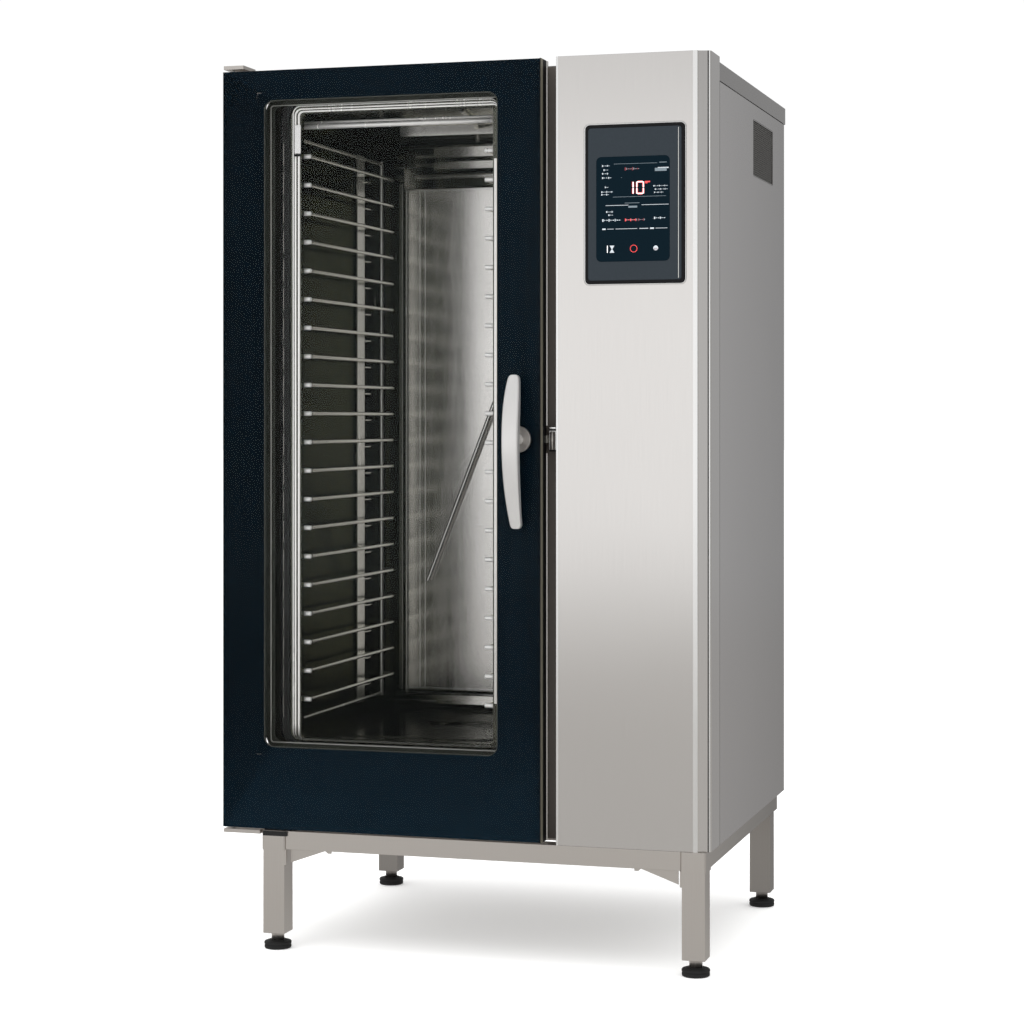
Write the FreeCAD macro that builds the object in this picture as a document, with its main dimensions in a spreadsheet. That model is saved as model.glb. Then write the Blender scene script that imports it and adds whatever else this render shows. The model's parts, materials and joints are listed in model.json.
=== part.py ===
import FreeCAD, Part
import math
import os
import re
import Sketcher

# A floor-standing combi steamer oven.  Positions in the sheet are measured from the cabinet's right side
# (x, negative to the left), from the front of the control column (y, positive to the back) and from the
# floor (z).  shift_x and shift_y carry them to the model's origin, the middle of the bounding box's base.

DIMENSIONS = {
    # Overall
    "shift_x": 528.0,
    "shift_y": -392.0,
    "cabinet_width": 977.0,
    "cabinet_back": 851.0,
    "cabinet_bottom": 253.0,
    "sheet": 1.5,
    "liner_sheet": 2.0,
    # Stand
    "frame_left": 970.0,
    "frame_right": 10.0,
    "frame_back": 815.0,
    "frame_bottom": 214.0,
    "rail_width": 40.0,
    "tube_wall": 2.0,
    "leg_side": 48.0,
    "leg_bottom": 34.0,
    "leg_inset": 10.0,
    "leg_left": 967.0,
    "leg_front": -1.0,
    "leg_rear": 725.0,
    "socket_lip": 2.5,
    "fit_gap": 0.1,
    "socket_corner": 5.0,
    "socket_bottom": 212.0,
    "socket_top": 249.0,
    "gusset_length": 150.0,
    "gusset_drop": 33.0,
    "gusset_sheet": 4.0,
    "pad_radius": 29.0,
    "pad_height": 14.0,
    "stem_radius": 13.5,
    "stem_height": 52.0,
    "thread_radius": 8.0,
    "thread_top": 96.0,
    # Control column
    "column_width": 321.0,
    "column_depth": 98.0,
    "column_top": 1870.0,
    "strip_left": 34.0,
    "strip_step": 2.0,
    "strip_right": 3.0,
    "strip_depth": 11.0,
    "corner_depth": 15.0,
    "column_fold": 4.0,
    "window_margin": 14.0,
    "screen_lip": 5.0,
    "screen_recess": 3.0,
    "screen_glass": 1.8,
    "board_gap": 3.0,
    "board_sheet": 1.6,
    "connector_width": 60.0,
    "connector_depth": 9.0,
    "connector_height": 14.0,
    "panel_left": 258.0,
    "panel_width": 206.0,
    "panel_bottom": 1403.0,
    "panel_height": 322.0,
    "panel_proud": 5.0,
    "panel_corner": 6.0,
    "screen_left": 235.0,
    "screen_width": 153.0,
    "screen_bottom": 1447.0,
    "screen_height": 213.0,
    # Top and sides
    "seam": 2.0,
    "lid_bottom": 1821.0,
    "lid_top": 1859.0,
    "lid_back": 868.0,
    "vent_front": 463.0,
    "vent_length": 241.5,
    "vent_bottom": 1661.5,
    "vent_height": 124.5,
    "grille_rim": 8.0,
    "grille_sheet": 3.0,
    "grille_slot": 8.0,
    "grille_gap": 6.0,
    # Cooking cavity
    "front_face": 50.0,
    "liner_left": 926.0,
    "liner_right": 366.0,
    "liner_front": 62.0,
    "liner_back": 735.0,
    "liner_bottom": 443.0,
    "liner_top": 1790.0,
    "ring_left": 924.5,
    "ring_right": 455.5,
    "ring_band": 19.5,
    "ring_bottom": 437.0,
    "ring_top": 1797.0,
    "ring_low_band": 9.0,
    "ring_top_band": 12.0,
    "ring_front": 43.0,
    "ring_corner": 26.0,
    "mouth_corner": 8.0,
    "gasket_width": 15.0,
    "gasket_front": 41.0,
    "insulation_gap": 38.0,
    "roof_wool": 40.0,
    "air_panel_left": 866.0,
    "air_panel_right": 512.0,
    "air_panel_bottom": 485.0,
    "air_panel_top": 1672.0,
    "air_panel_front": 652.0,
    "intake_web": 8.0,
    "intake_reach": 120.0,
    "baffle_foot": 20.0,
    # Racks
    "rack_front": 70.0,
    "rack_back": 612.0,
    "rack_left_tip": 886.0,
    "rack_right_tip": 495.0,
    "rack_reach": 34.0,
    "wire_radius": 4.0,
    "post_radius": 5.0,
    "rail_bend": 9.0,
    "rail_hook": 6.0,
    "strap_sheet": 3.0,
    "first_rail": 525.4,
    "rail_pitch": 61.3,
    "rail_count": 20.0,
    "strap_front": 446.0,
    "strap_width": 47.0,
    # Fans, heat and steam
    "baffle_left": 452.0,
    "baffle_front": 70.0,
    "baffle_back": 725.0,
    "baffle_bottom": 478.0,
    "baffle_top": 1755.0,
    "fan_depth": 398.0,
    "fan_low": 780.0,
    "fan_high": 1440.0,
    "fan_radius": 150.0,
    "fan_width": 54.0,
    "fan_left": 440.0,
    "fan_sheet": 3.0,
    "fan_rim": 30.0,
    "vane_sheet": 2.0,
    "vane_chord": 28.0,
    "vane_tilt": 35.0,
    "hub_radius": 24.0,
    "shaft_radius": 9.0,
    "shaft_gap": 0.05,
    "coil_radius": 186.0,
    "coil_tube": 6.0,
    "motor_radius": 62.0,
    "motor_length": 120.0,
    "motor_left": 324.0,
    "terminal_length": 70.0,
    "terminal_depth": 80.0,
    "terminal_height": 45.0,
    "lance_radius": 5.0,
    "lance_gap": 14.0,
    "lance_top": 1262.0,
    "lance_elbow": 610.0,
    "lance_tip": 813.0,
    "lance_low": 745.0,
    "lance_bend": 60.0,
    "spray_radius": 5.0,
    "spray_gap": 3.0,
    "spray_bend": 300.0,
    "tank_x": 160.0,
    "tank_y": 205.0,
    "tank_radius": 95.0,
    "tank_wall": 3.0,
    "tank_bottom": 300.0,
    "tank_height": 560.0,
    "tank_flange": 12.0,
    "tank_feed": 9.0,
    "lamp_width": 8.0,
    "lamp_depth": 14.0,
    "lamp_length": 420.0,
    "lamp_low": 560.0,
    "lamp_high": 1200.0,
    "strainer_rim": 12.0,
    "strainer_sheet": 3.0,
    "strainer_pitch": 8.0,
    "drain_x": 690.0,
    "drain_y": 400.0,
    "drain_radius": 25.0,
    "drain_outlet_z": 300.0,
    "vent_x": 640.0,
    "vent_y": 675.0,
    "vent_radius": 25.0,
    "flue_top": 1871.0,
    "spigot_step": 1.0,
    "spigot_length": 15.0,
    "cooling_y": 583.0,
    "cooling_z": 1723.0,
    "cooling_radius": 52.0,
    "cooling_depth": 26.0,
    "cooling_gap": 12.0,
    "cooling_wide": 120.0,
    "cooling_tall": 116.0,
    "cooling_spoke": 6.0,
    "cooling_hub": 18.0,
    "inlet_x": 60.0,
    "inlet_z": 330.0,
    "inlet_radius": 13.2,
    "valve_side": 50.0,
    "valve_depth": 60.0,
    "valve_coil": 17.0,
    "valve_bore": 9.0,
    "gland_x": 110.0,
    "gland_z": 330.0,
    "gland_radius": 11.0,
    "gland_length": 36.0,
    "gland_nut": 15.0,
    "gland_bore": 7.0,
    "contactor_x": 120.0,
    "contactor_y": 400.0,
    "contactor_z": 1000.0,
    "contactor_pitch": 58.0,
    # Door
    "door_left": 1056.0,
    "door_width": 706.0,
    "door_bottom": 257.5,
    "door_height": 1609.0,
    "door_front": -14.0,
    "glass": 5.0,
    "enamel": 1.0,
    "door_back": 40.0,
    "window_left": 962.0,
    "window_width": 518.0,
    "window_bottom": 431.0,
    "window_height": 1372.0,
    "window_corner": 22.0,
    "frame_opening_lip": 15.0,
    "inner_glass_lip": 12.0,
    # Door hardware
    "hinge_x": 1046.0,
    "hinge_y": 18.0,
    "hinge_plate": 8.0,
    "hinge_top": 1872.0,
    "hinge_low": 245.0,
    "hinge_ear_right": 1010.0,
    "hinge_back": 53.0,
    "pin_radius": 6.0,
    "pin_gap": 0.05,
    "handle_x": 397.0,
    "handle_z": 1085.0,
    "hub_disc": 27.5,
    "spindle_radius": 7.0,
    "handle_top": 1217.0,
    "handle_bottom": 902.0,
    "handle_wide": 34.0,
    "handle_narrow": 22.0,
    "handle_thick": 15.0,
    "handle_bow": 83.67,
    "handle_top_stand": 52.0,
    "handle_low_stand": 36.0,
    "keeper_left": 343.0,
    "keeper_width": 14.0,
    "keeper_height": 50.0,
    "bolt_height": 16.0,
    "bolt_length": 30.0,
    "bolt_thick": 12.0,
    "bolt_play": 0.3,
    "keeper_sheet": 3.0,
    "keeper_depth": 24.0,
    "boss": 30.0,
    "guide_side": 32.0,
    "screw_radius": 4.0,
    "screw_head": 2.0,
    "screw_inset": 20.0,
}

STAND_CORNERS = {
    "front_left": ("-leg_left", "leg_front"),
    "front_right": ("-leg_inset - leg_side", "leg_front"),
    "rear_left": ("-leg_left", "leg_rear"),
    "rear_right": ("-leg_inset - leg_side", "leg_rear"),
}
FANS = {"lower": "fan_low", "upper": "fan_high"}
INTAKE_RINGS = ((30, 52), (60, 82), (90, 112))
SPRAY_ROUTE = ((-560.0, 110.0), (-606.0, 360.0), (-690.0, 640.0))

DOC = FreeCAD.newDocument("combi_oven")
SHEET = DOC.addObject("Spreadsheet::Sheet", "dims")
NODES = []


# ---------------------------------------------------------------- sheet and placing

def fill_sheet():
    for row, (alias, value) in enumerate(DIMENSIONS.items(), start=1):
        SHEET.set(f"A{row}", alias.replace("_", " "))
        SHEET.set(f"B{row}", str(value))
        SHEET.setAlias(f"B{row}", alias)
    DOC.recompute()


def size(alias):
    return float(SHEET.get(alias))


def formula(text):
    """The text as an expression, with each alias read from the sheet."""
    return re.sub(r"[a-z][a-z_]*", lambda word: "dims." + word.group(0), str(text))


def bind(thing, **sizes):
    for name, text in sizes.items():
        thing.setExpression(name, formula(text))


def place(thing, x, y, z, turn=None):
    if turn is not None:
        thing.Placement = FreeCAD.Placement(FreeCAD.Vector(), turn)
    thing.setExpression("Placement.Base.x", formula(f"shift_x + ({x})"))
    thing.setExpression("Placement.Base.y", formula(f"shift_y + ({y})"))
    thing.setExpression("Placement.Base.z", formula(z))
    return thing


def spot(x, y, z):
    return FreeCAD.Vector(size("shift_x") + x, size("shift_y") + y, z)


ALONG_X = FreeCAD.Rotation(FreeCAD.Vector(0, 1, 0), 90)
ALONG_Y = FreeCAD.Rotation(FreeCAD.Vector(1, 0, 0), -90)
ALONG_Z = FreeCAD.Rotation()


# ---------------------------------------------------------------- plain solids and booleans

def block(name, x, y, z, wide, deep, tall):
    solid = DOC.addObject("Part::Box", name)
    bind(solid, Length=wide, Width=deep, Height=tall)
    return place(solid, x, y, z)


def rod(name, x, y, z, radius, length, turn=ALONG_Z):
    solid = DOC.addObject("Part::Cylinder", name)
    bind(solid, Radius=radius, Height=length)
    return place(solid, x, y, z, turn)


def coil_ring(name, x, y, z, radius, tube, turn):
    solid = DOC.addObject("Part::Torus", name)
    bind(solid, Radius1=radius, Radius2=tube)
    return place(solid, x, y, z, turn)


def fuse(name, *solids):
    joined = DOC.addObject("Part::MultiFuse", name)
    joined.Shapes = list(solids)
    return joined


def group(name, *solids):
    bundle = DOC.addObject("Part::Compound", name)
    bundle.Links = list(solids)
    return bundle


def cut(name, base, *tools):
    result = DOC.addObject("Part::Cut", name)
    result.Base = base
    result.Tool = tools[0] if len(tools) == 1 else fuse(name + "_tools", *tools)
    return result


def round_edges(name, base, radius, direction):
    """Fillet the straight edges of the base that run along the direction."""
    DOC.recompute()
    along = []
    for number, edge in enumerate(base.Shape.Edges, start=1):
        if edge.Curve.TypeId != "Part::GeomLine":
            continue
        if edge.Curve.Direction.cross(direction).Length < 1e-6:
            along.append((number, radius, radius))
    rounded = DOC.addObject("Part::Fillet", name)
    rounded.Base = base
    rounded.Edges = along
    return rounded


def rounded_plate(name, x, y, z, wide, deep, tall, radius):
    """Upright plate facing the front, with rounded corners."""
    plain = block(name + "_plain", x, y, z, wide, deep, tall)
    return round_edges(name, plain, radius, FreeCAD.Vector(0, 1, 0))


def solid_feature(name, shape):
    feature = DOC.addObject("Part::Feature", name)
    feature.Shape = shape
    feature.Placement = FreeCAD.Placement()
    return feature


def keep(thing):
    NODES.append(thing)
    return thing


# ---------------------------------------------------------------- part design helpers

def origin_plane(body, role):
    return next(item for item in body.Origin.OriginFeatures if item.Role == role)


def sketch_on(body, name, role):
    sketch = body.newObject("Sketcher::SketchObject", name)
    sketch.AttachmentSupport = [(origin_plane(body, role), "")]
    sketch.MapMode = "FlatFace"
    return sketch


def name_distance(sketch, kind, first, second, label, text):
    """A distance constraint between two sketch points, bound to the sheet."""
    number = sketch.addConstraint(Sketcher.Constraint(kind, *first, *second, 10.0))
    sketch.renameConstraint(number, label)
    sketch.setExpression("Constraints." + label, formula(text))


def rectangle(sketch, label, left, bottom, wide, tall):
    """Rectangle up and right of the sketch's origin."""
    start = sketch.GeometryCount
    rough = [FreeCAD.Vector(*corner, 0) for corner in ((1, 1), (11, 1), (11, 11), (1, 11))]
    for side in range(4):
        sketch.addGeometry(Part.LineSegment(rough[side], rough[(side + 1) % 4]))
    for side in range(4):
        following = start + (side + 1) % 4
        sketch.addConstraint(Sketcher.Constraint("Coincident", start + side, 2, following, 1))
        level = "Horizontal" if side % 2 == 0 else "Vertical"
        sketch.addConstraint(Sketcher.Constraint(level, start + side))
    corner = (start, 1)
    name_distance(sketch, "DistanceX", (-1, 1), corner, label + "_left", left)
    name_distance(sketch, "DistanceY", (-1, 1), corner, label + "_bottom", bottom)
    name_distance(sketch, "DistanceX", corner, (start, 2), label + "_wide", wide)
    name_distance(sketch, "DistanceY", corner, (start + 2, 1), label + "_tall", tall)


def pad(body, name, sketch, length):
    feature = body.newObject("PartDesign::Pad", name)
    feature.Profile = sketch
    bind(feature, Length=length)
    return feature


def polygon(sketch, points):
    """Closed outline through fixed points."""
    corners = [FreeCAD.Vector(x, y, 0) for x, y in points]
    for number, corner in enumerate(corners):
        sketch.addGeometry(Part.LineSegment(corner, corners[(number + 1) % len(corners)]))
    for number in range(len(corners)):
        following = (number + 1) % len(corners)
        sketch.addConstraint(Sketcher.Constraint("Coincident", number, 2, following, 1))
        sketch.addConstraint(Sketcher.Constraint("Block", number))


# ---------------------------------------------------------------- stand

def build_legs():
    """Four square tube legs, each open inside for its foot's threaded stem."""
    for corner, (x, y) in STAND_CORNERS.items():
        body = DOC.addObject("PartDesign::Body", "leg_" + corner)
        outline = sketch_on(body, "leg_section_" + corner, "XY_Plane")
        rectangle(outline, "outside", "0.001", "0.001", "leg_side", "leg_side")
        rectangle(outline, "inside", "tube_wall", "tube_wall",
                  "leg_side - 2 * tube_wall", "leg_side - 2 * tube_wall")
        top = "socket_top - tube_wall" if corner.startswith("front") else "frame_bottom"
        pad(body, "leg_pad_" + corner, outline, f"{top} - leg_bottom")
        end_plate = sketch_on(body, "leg_end_" + corner, "XY_Plane")
        rectangle(end_plate, "end", "tube_wall / 2", "tube_wall / 2",
                  "leg_side - tube_wall", "leg_side - tube_wall")
        middle = size("leg_side") / 2
        hole = size("stem_radius") + 0.3
        end_plate.addGeometry(Part.Circle(FreeCAD.Vector(middle, middle, 0), FreeCAD.Vector(0, 0, 1), hole))
        end_plate.addConstraint(Sketcher.Constraint("Block", 4))
        pad(body, "leg_end_pad_" + corner, end_plate, "2 * tube_wall")
        place(body, x, y, "leg_bottom")
        keep(body)


def build_feet():
    """Levelling feet: a round pad, a smooth collar that slides in the leg, and a threaded stem."""
    for corner, (x, y) in STAND_CORNERS.items():
        body = DOC.addObject("PartDesign::Body", "foot_" + corner)
        profile = sketch_on(body, "foot_profile_" + corner, "XZ_Plane")
        pad_edge = size("pad_radius")
        top = size("pad_height")
        stem = size("stem_radius")
        polygon(profile, [
            (0, 0), (pad_edge - 2, 0), (pad_edge, 2), (pad_edge, top - 4), (pad_edge - 4, top - 1),
            (stem + 3, top), (stem, top + 2), (stem, size("stem_height")),
            (size("thread_radius"), size("stem_height")), (size("thread_radius"), size("thread_top")),
            (0, size("thread_top")),
        ])
        turned = body.newObject("PartDesign::Revolution", "foot_turned_" + corner)
        turned.Profile = profile
        turned.ReferenceAxis = (profile, ["V_Axis"])
        turned.Angle = 360
        place(body, f"{x} + leg_side / 2", f"{y} + leg_side / 2", "0")
        keep(body)


def square_tube(name, x, y, z, wide, deep, tall, along):
    """Open-ended rectangular tube along x or y."""
    wall = "tube_wall"
    if along == "x":
        core = block(name + "_bore", f"{x} - 1", f"{y} + {wall}", f"{z} + {wall}",
                     f"{wide} + 2", f"{deep} - 2 * {wall}", f"{tall} - 2 * {wall}")
    else:
        core = block(name + "_bore", f"{x} + {wall}", f"{y} - 1", f"{z} + {wall}",
                     f"{wide} - 2 * {wall}", f"{deep} + 2", f"{tall} - 2 * {wall}")
    return cut(name, block(name + "_bar", x, y, z, wide, deep, tall), core)


def build_frame():
    tall = "cabinet_bottom - frame_bottom"
    socket = "leg_side + 2 * socket_lip"
    side_front = f"leg_front - socket_lip + {socket}"
    side_length = f"frame_back - ({side_front})"
    front = square_tube("front_bar", f"-leg_left - socket_lip + {socket}", "0", "frame_bottom",
                        f"leg_left - leg_inset + 2 * socket_lip - 2 * ({socket})", "rail_width", tall, "x")
    left = square_tube("left_bar", "-frame_left + socket_lip", side_front, "frame_bottom",
                       "rail_width", side_length, tall, "y")
    right = square_tube("right_bar", "-frame_right - rail_width", side_front, "frame_bottom",
                        "rail_width", side_length, tall, "y")
    rear = square_tube("rear_bar", "-frame_left + socket_lip + rail_width", "frame_back - rail_width",
                       "frame_bottom", "frame_left - frame_right - socket_lip - 2 * rail_width",
                       "rail_width", tall, "x")
    keep(group("frame_rails", front, left, right, rear))
    sockets = []
    for corner in ("front_left", "front_right"):
        x, y = STAND_CORNERS[corner]
        outer = block("socket_block_" + corner, f"{x} - socket_lip", f"{y} - socket_lip", "socket_bottom",
                      socket, socket, "cabinet_bottom - socket_bottom")
        rounded = round_edges("socket_round_" + corner, outer, size("socket_corner"),
                              FreeCAD.Vector(0, 0, 1))
        pocket = block("socket_pocket_" + corner, f"{x} - fit_gap", f"{y} - fit_gap", "socket_bottom - 1",
                       "leg_side + 2 * fit_gap", "leg_side + 2 * fit_gap", "socket_top - socket_bottom + 1")
        sockets.append(cut("socket_" + corner, rounded, pocket))
    gussets = []
    for corner, (x, y) in STAND_CORNERS.items():
        inner_x = f"{x} + leg_side" if corner.endswith("left") else f"{x} - gusset_sheet"
        if corner.startswith("front"):
            points = ((0, 0), (0, -size("gusset_drop")), (size("gusset_length"), 0))
            start = f"{y}"
        else:
            points = ((0, 0), (0, -size("gusset_drop")), (-size("gusset_length"), 0))
            start = f"{y} + leg_side"
        body = DOC.addObject("PartDesign::Body", "gusset_" + corner)
        outline = sketch_on(body, "gusset_outline_" + corner, "YZ_Plane")
        polygon(outline, points)
        pad(body, "gusset_pad_" + corner, outline, "gusset_sheet")
        place(body, inner_x, start, "frame_bottom")
        gussets.append(body)
    keep(group("leg_brackets", *sockets, *gussets))


# ---------------------------------------------------------------- cabinet shell

def build_shell():
    top_gap = "lid_bottom - seam - cabinet_bottom"
    keep(block("bottom_pan", "-cabinet_width + sheet", "front_face + liner_sheet", "cabinet_bottom",
               "cabinet_width - sheet - liner_sheet", "cabinet_back - front_face - liner_sheet - sheet",
               "liner_sheet"))
    keep(block("left_side_panel", "-cabinet_width", "front_face + liner_sheet", "cabinet_bottom",
               "sheet", "cabinet_back - front_face - liner_sheet", top_gap))
    right = block("right_panel_plain", "-sheet", "column_depth", "cabinet_bottom",
                  "sheet", "cabinet_back - column_depth", top_gap)
    hole = block("side_vent_hole", "-2 * sheet", "vent_front", "vent_bottom",
                 "4 * sheet", "vent_length", "vent_height")
    keep(cut("right_side_panel", right, hole))
    rear = block("rear_panel_plain", "-cabinet_width + sheet", "cabinet_back - sheet", "cabinet_bottom",
                 "cabinet_width - 2 * sheet", "sheet", top_gap)
    openings = [
        rod("inlet_hole", "-inlet_x", "cabinet_back - 10", "inlet_z", "inlet_radius - spigot_step", "20",
            ALONG_Y),
        rod("gland_hole", "-gland_x", "cabinet_back - 10", "gland_z", "gland_radius", "20", ALONG_Y),
        rod("drain_hole", "-drain_x", "cabinet_back - 10", "drain_outlet_z", "drain_radius - spigot_step",
            "20", ALONG_Y),
    ]
    keep(cut("rear_panel", rear, *openings))
    left_outer = block("lid_left_outer", "-cabinet_width", "front_face + liner_sheet", "lid_bottom",
                       "cabinet_width - column_width", "lid_back - front_face - liner_sheet",
                       "lid_top - lid_bottom")
    right_outer = block("lid_right_outer", "-column_width", "column_depth", "lid_bottom",
                        "column_width", "lid_back - column_depth", "lid_top - lid_bottom")
    left_inner = block("lid_left_inner", "-cabinet_width + sheet", "front_face + liner_sheet + sheet",
                       "lid_bottom - 1", "cabinet_width - column_width - sheet",
                       "lid_back - front_face - liner_sheet - 2 * sheet", "lid_top - lid_bottom - sheet + 1")
    right_inner = block("lid_right_inner", "-column_width - 1", "column_depth + sheet", "lid_bottom - 1",
                        "column_width - sheet + 1", "lid_back - column_depth - 2 * sheet",
                        "lid_top - lid_bottom - sheet + 1")
    flue = rod("lid_flue_hole", "-vent_x", "vent_y", "lid_bottom", "vent_radius - spigot_step", "60")
    keep(cut("top_lid", fuse("lid_outer", left_outer, right_outer), left_inner, right_inner, flue))


def build_vent():
    """Side vent: a framed plate pierced by slots."""
    plate = block("vent_plate", "-sheet - grille_sheet", "vent_front - grille_rim",
                  "vent_bottom - grille_rim", "grille_sheet", "vent_length + 2 * grille_rim",
                  "vent_height + 2 * grille_rim")
    rows = 9
    columns = 3
    slots = [
        block(f"vent_slot_{row}_{column}", "-sheet - grille_sheet - 1",
              f"vent_front + grille_gap + {column} * vent_length / {columns}",
              f"vent_bottom + grille_gap + {row} * vent_height / {rows}",
              "grille_sheet + 2", f"vent_length / {columns} - 2 * grille_gap", "grille_slot")
        for row in range(rows) for column in range(columns)
    ]
    keep(cut("side_vent_grille", plate, *slots))


def build_column():
    """Front of the technical compartment: a folded sheet with a slanted strip down its right corner."""
    left, depth = -size("column_width"), size("column_depth")
    edge, step = -size("strip_left"), size("strip_step")
    corner = (-size("strip_right"), size("strip_depth"))
    side = size("corner_depth")
    sheet, fold = size("liner_sheet"), size("column_fold")
    outside = DOC.addObject("PartDesign::Body", "column_outside")
    outline = sketch_on(outside, "column_outline", "XY_Plane")
    polygon(outline, [(left, 0), (edge, 0), (edge, step), corner, (0, side), (0, depth), (left, depth)])
    pad(outside, "column_pad", outline, "column_top - cabinet_bottom")
    place(outside, "0", "0", "cabinet_bottom")
    inside = DOC.addObject("PartDesign::Body", "column_inside")
    hollow = sketch_on(inside, "column_hollow", "XY_Plane")
    polygon(hollow, [(left + sheet, fold), (edge - sheet, fold), (corner[0] - sheet, corner[1] + sheet),
                     (-sheet, side + sheet), (-sheet, depth + 1), (left + sheet, depth + 1)])
    pad(inside, "column_hollow_pad", hollow, "column_top - cabinet_bottom - liner_sheet + 1")
    place(inside, "0", "0", "cabinet_bottom - 1")
    behind_ring = block("column_left_trim", "-column_width - 1", "front_face", "cabinet_bottom - 1",
                        "liner_sheet + 2", "column_depth", "column_top - cabinet_bottom + 2")
    window = block("column_window", "-panel_left + window_margin", "-1", "panel_bottom + window_margin",
                   "panel_width - 2 * window_margin", "column_fold + 2", "panel_height - 2 * window_margin")
    keep(cut("control_column", outside, inside, behind_ring, window))


def build_controls():
    frame = rounded_plate("bezel_outside", "-panel_left", "-panel_proud", "panel_bottom",
                          "panel_width", "panel_proud", "panel_height", size("panel_corner"))
    recess = block("bezel_screen_recess", "-screen_left", "-panel_proud - 1", "screen_bottom",
                   "screen_width", "screen_recess", "screen_height")
    behind = block("bezel_display_hole", "-screen_left + screen_lip", "-panel_proud - 1",
                   "screen_bottom + screen_lip", "screen_width - 2 * screen_lip", "panel_proud + 2",
                   "screen_height - 2 * screen_lip")
    keep(cut("control_bezel", frame, recess, behind))
    keep(block("touch_glass", "-screen_left", "-panel_proud + screen_recess - screen_glass - 1",
               "screen_bottom", "screen_width", "screen_glass", "screen_height"))
    board = block("board_plate", "-screen_left", "panel_proud + board_gap", "screen_bottom",
                  "screen_width", "board_sheet", "screen_height")
    display = block("board_display", "-screen_left + screen_lip + board_gap", "0",
                    "screen_bottom + screen_lip + board_gap",
                    "screen_width - 2 * (screen_lip + board_gap)", "panel_proud + board_gap",
                    "screen_height - 2 * (screen_lip + board_gap)")
    connector = block("board_connector", "-screen_left + window_margin",
                      "panel_proud + board_gap + board_sheet", "screen_bottom + window_margin",
                      "connector_width", "connector_depth", "connector_height")
    keep(fuse("control_board", board, display, connector))


# ---------------------------------------------------------------- cooking cavity

def build_cavity():
    hole_wide = "ring_left - ring_right - 2 * ring_band"
    shell = block("liner_outside", "-liner_left - liner_sheet", "liner_front - liner_sheet",
                  "liner_bottom - liner_sheet", "liner_left - liner_right + 2 * liner_sheet",
                  "liner_back - liner_front + 2 * liner_sheet", "liner_top - liner_bottom + 2 * liner_sheet")
    room = block("liner_room", "-liner_left", "liner_front", "liner_bottom",
                 "liner_left - liner_right", "liner_back - liner_front", "liner_top - liner_bottom")
    mouth = rounded_plate("liner_mouth", "-ring_left + ring_band", "liner_front - 10",
                          "ring_bottom + ring_low_band", hole_wide, "20",
                          "ring_top - ring_bottom - ring_low_band - ring_top_band",
                          size("mouth_corner"))
    holes = [rod("liner_shaft_hole_" + name, "-liner_right - 10", "fan_depth", z, "hub_radius", "40", ALONG_X)
             for name, z in FANS.items()]
    holes += [rod("liner_terminal_hole_" + name, "-liner_right - 10", "fan_depth", f"{z} - coil_radius",
                  "coil_tube - 1", "40", ALONG_X) for name, z in FANS.items()]
    drain = rod("liner_drain_hole", "-drain_x", "drain_y", "liner_bottom - 20", "drain_radius", "40")
    flue = rod("liner_flue_hole", "-vent_x", "vent_y", "liner_top - 20", "vent_radius - spigot_step", "40")
    keep(cut("cavity_liner", shell, room, mouth, drain, flue, *holes))
    collar = rounded_plate("collar_outside", "-ring_left", "ring_front", "ring_bottom",
                           "ring_left - ring_right", "liner_front - liner_sheet - ring_front",
                           "ring_top - ring_bottom", size("ring_corner"))
    collar_hole = rounded_plate("collar_hole", "-ring_left + ring_band", "ring_front - 1",
                                "ring_bottom + ring_low_band", hole_wide, "40",
                                "ring_top - ring_bottom - ring_low_band - ring_top_band",
                                size("mouth_corner"))
    keep(cut("cavity_collar", collar, collar_hole))
    front = block("front_plain", "-cabinet_width", "front_face", "cabinet_bottom + liner_sheet",
                  "cabinet_width - column_width + 2 * liner_sheet", "liner_sheet",
                  "lid_top - cabinet_bottom - liner_sheet - 2 * sheet")
    front_hole = rounded_plate("front_hole", "-ring_left", "front_face - 5", "ring_bottom",
                               "ring_left - ring_right", "20", "ring_top - ring_bottom", size("ring_corner"))
    keep(cut("front_frame", front, front_hole))
    gasket = rounded_plate("gasket_outside", "-ring_left - gasket_width", "gasket_front",
                           "ring_bottom - gasket_width", "ring_left - ring_right + 2 * gasket_width",
                           "front_face - gasket_front", "ring_top - ring_bottom + 2 * gasket_width",
                           size("ring_corner") + size("gasket_width"))
    gasket_hole = rounded_plate("gasket_hole", "-ring_left", "gasket_front - 1", "ring_bottom",
                                "ring_left - ring_right", "20", "ring_top - ring_bottom", size("ring_corner"))
    keep(cut("door_gasket", gasket, gasket_hole))


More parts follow.
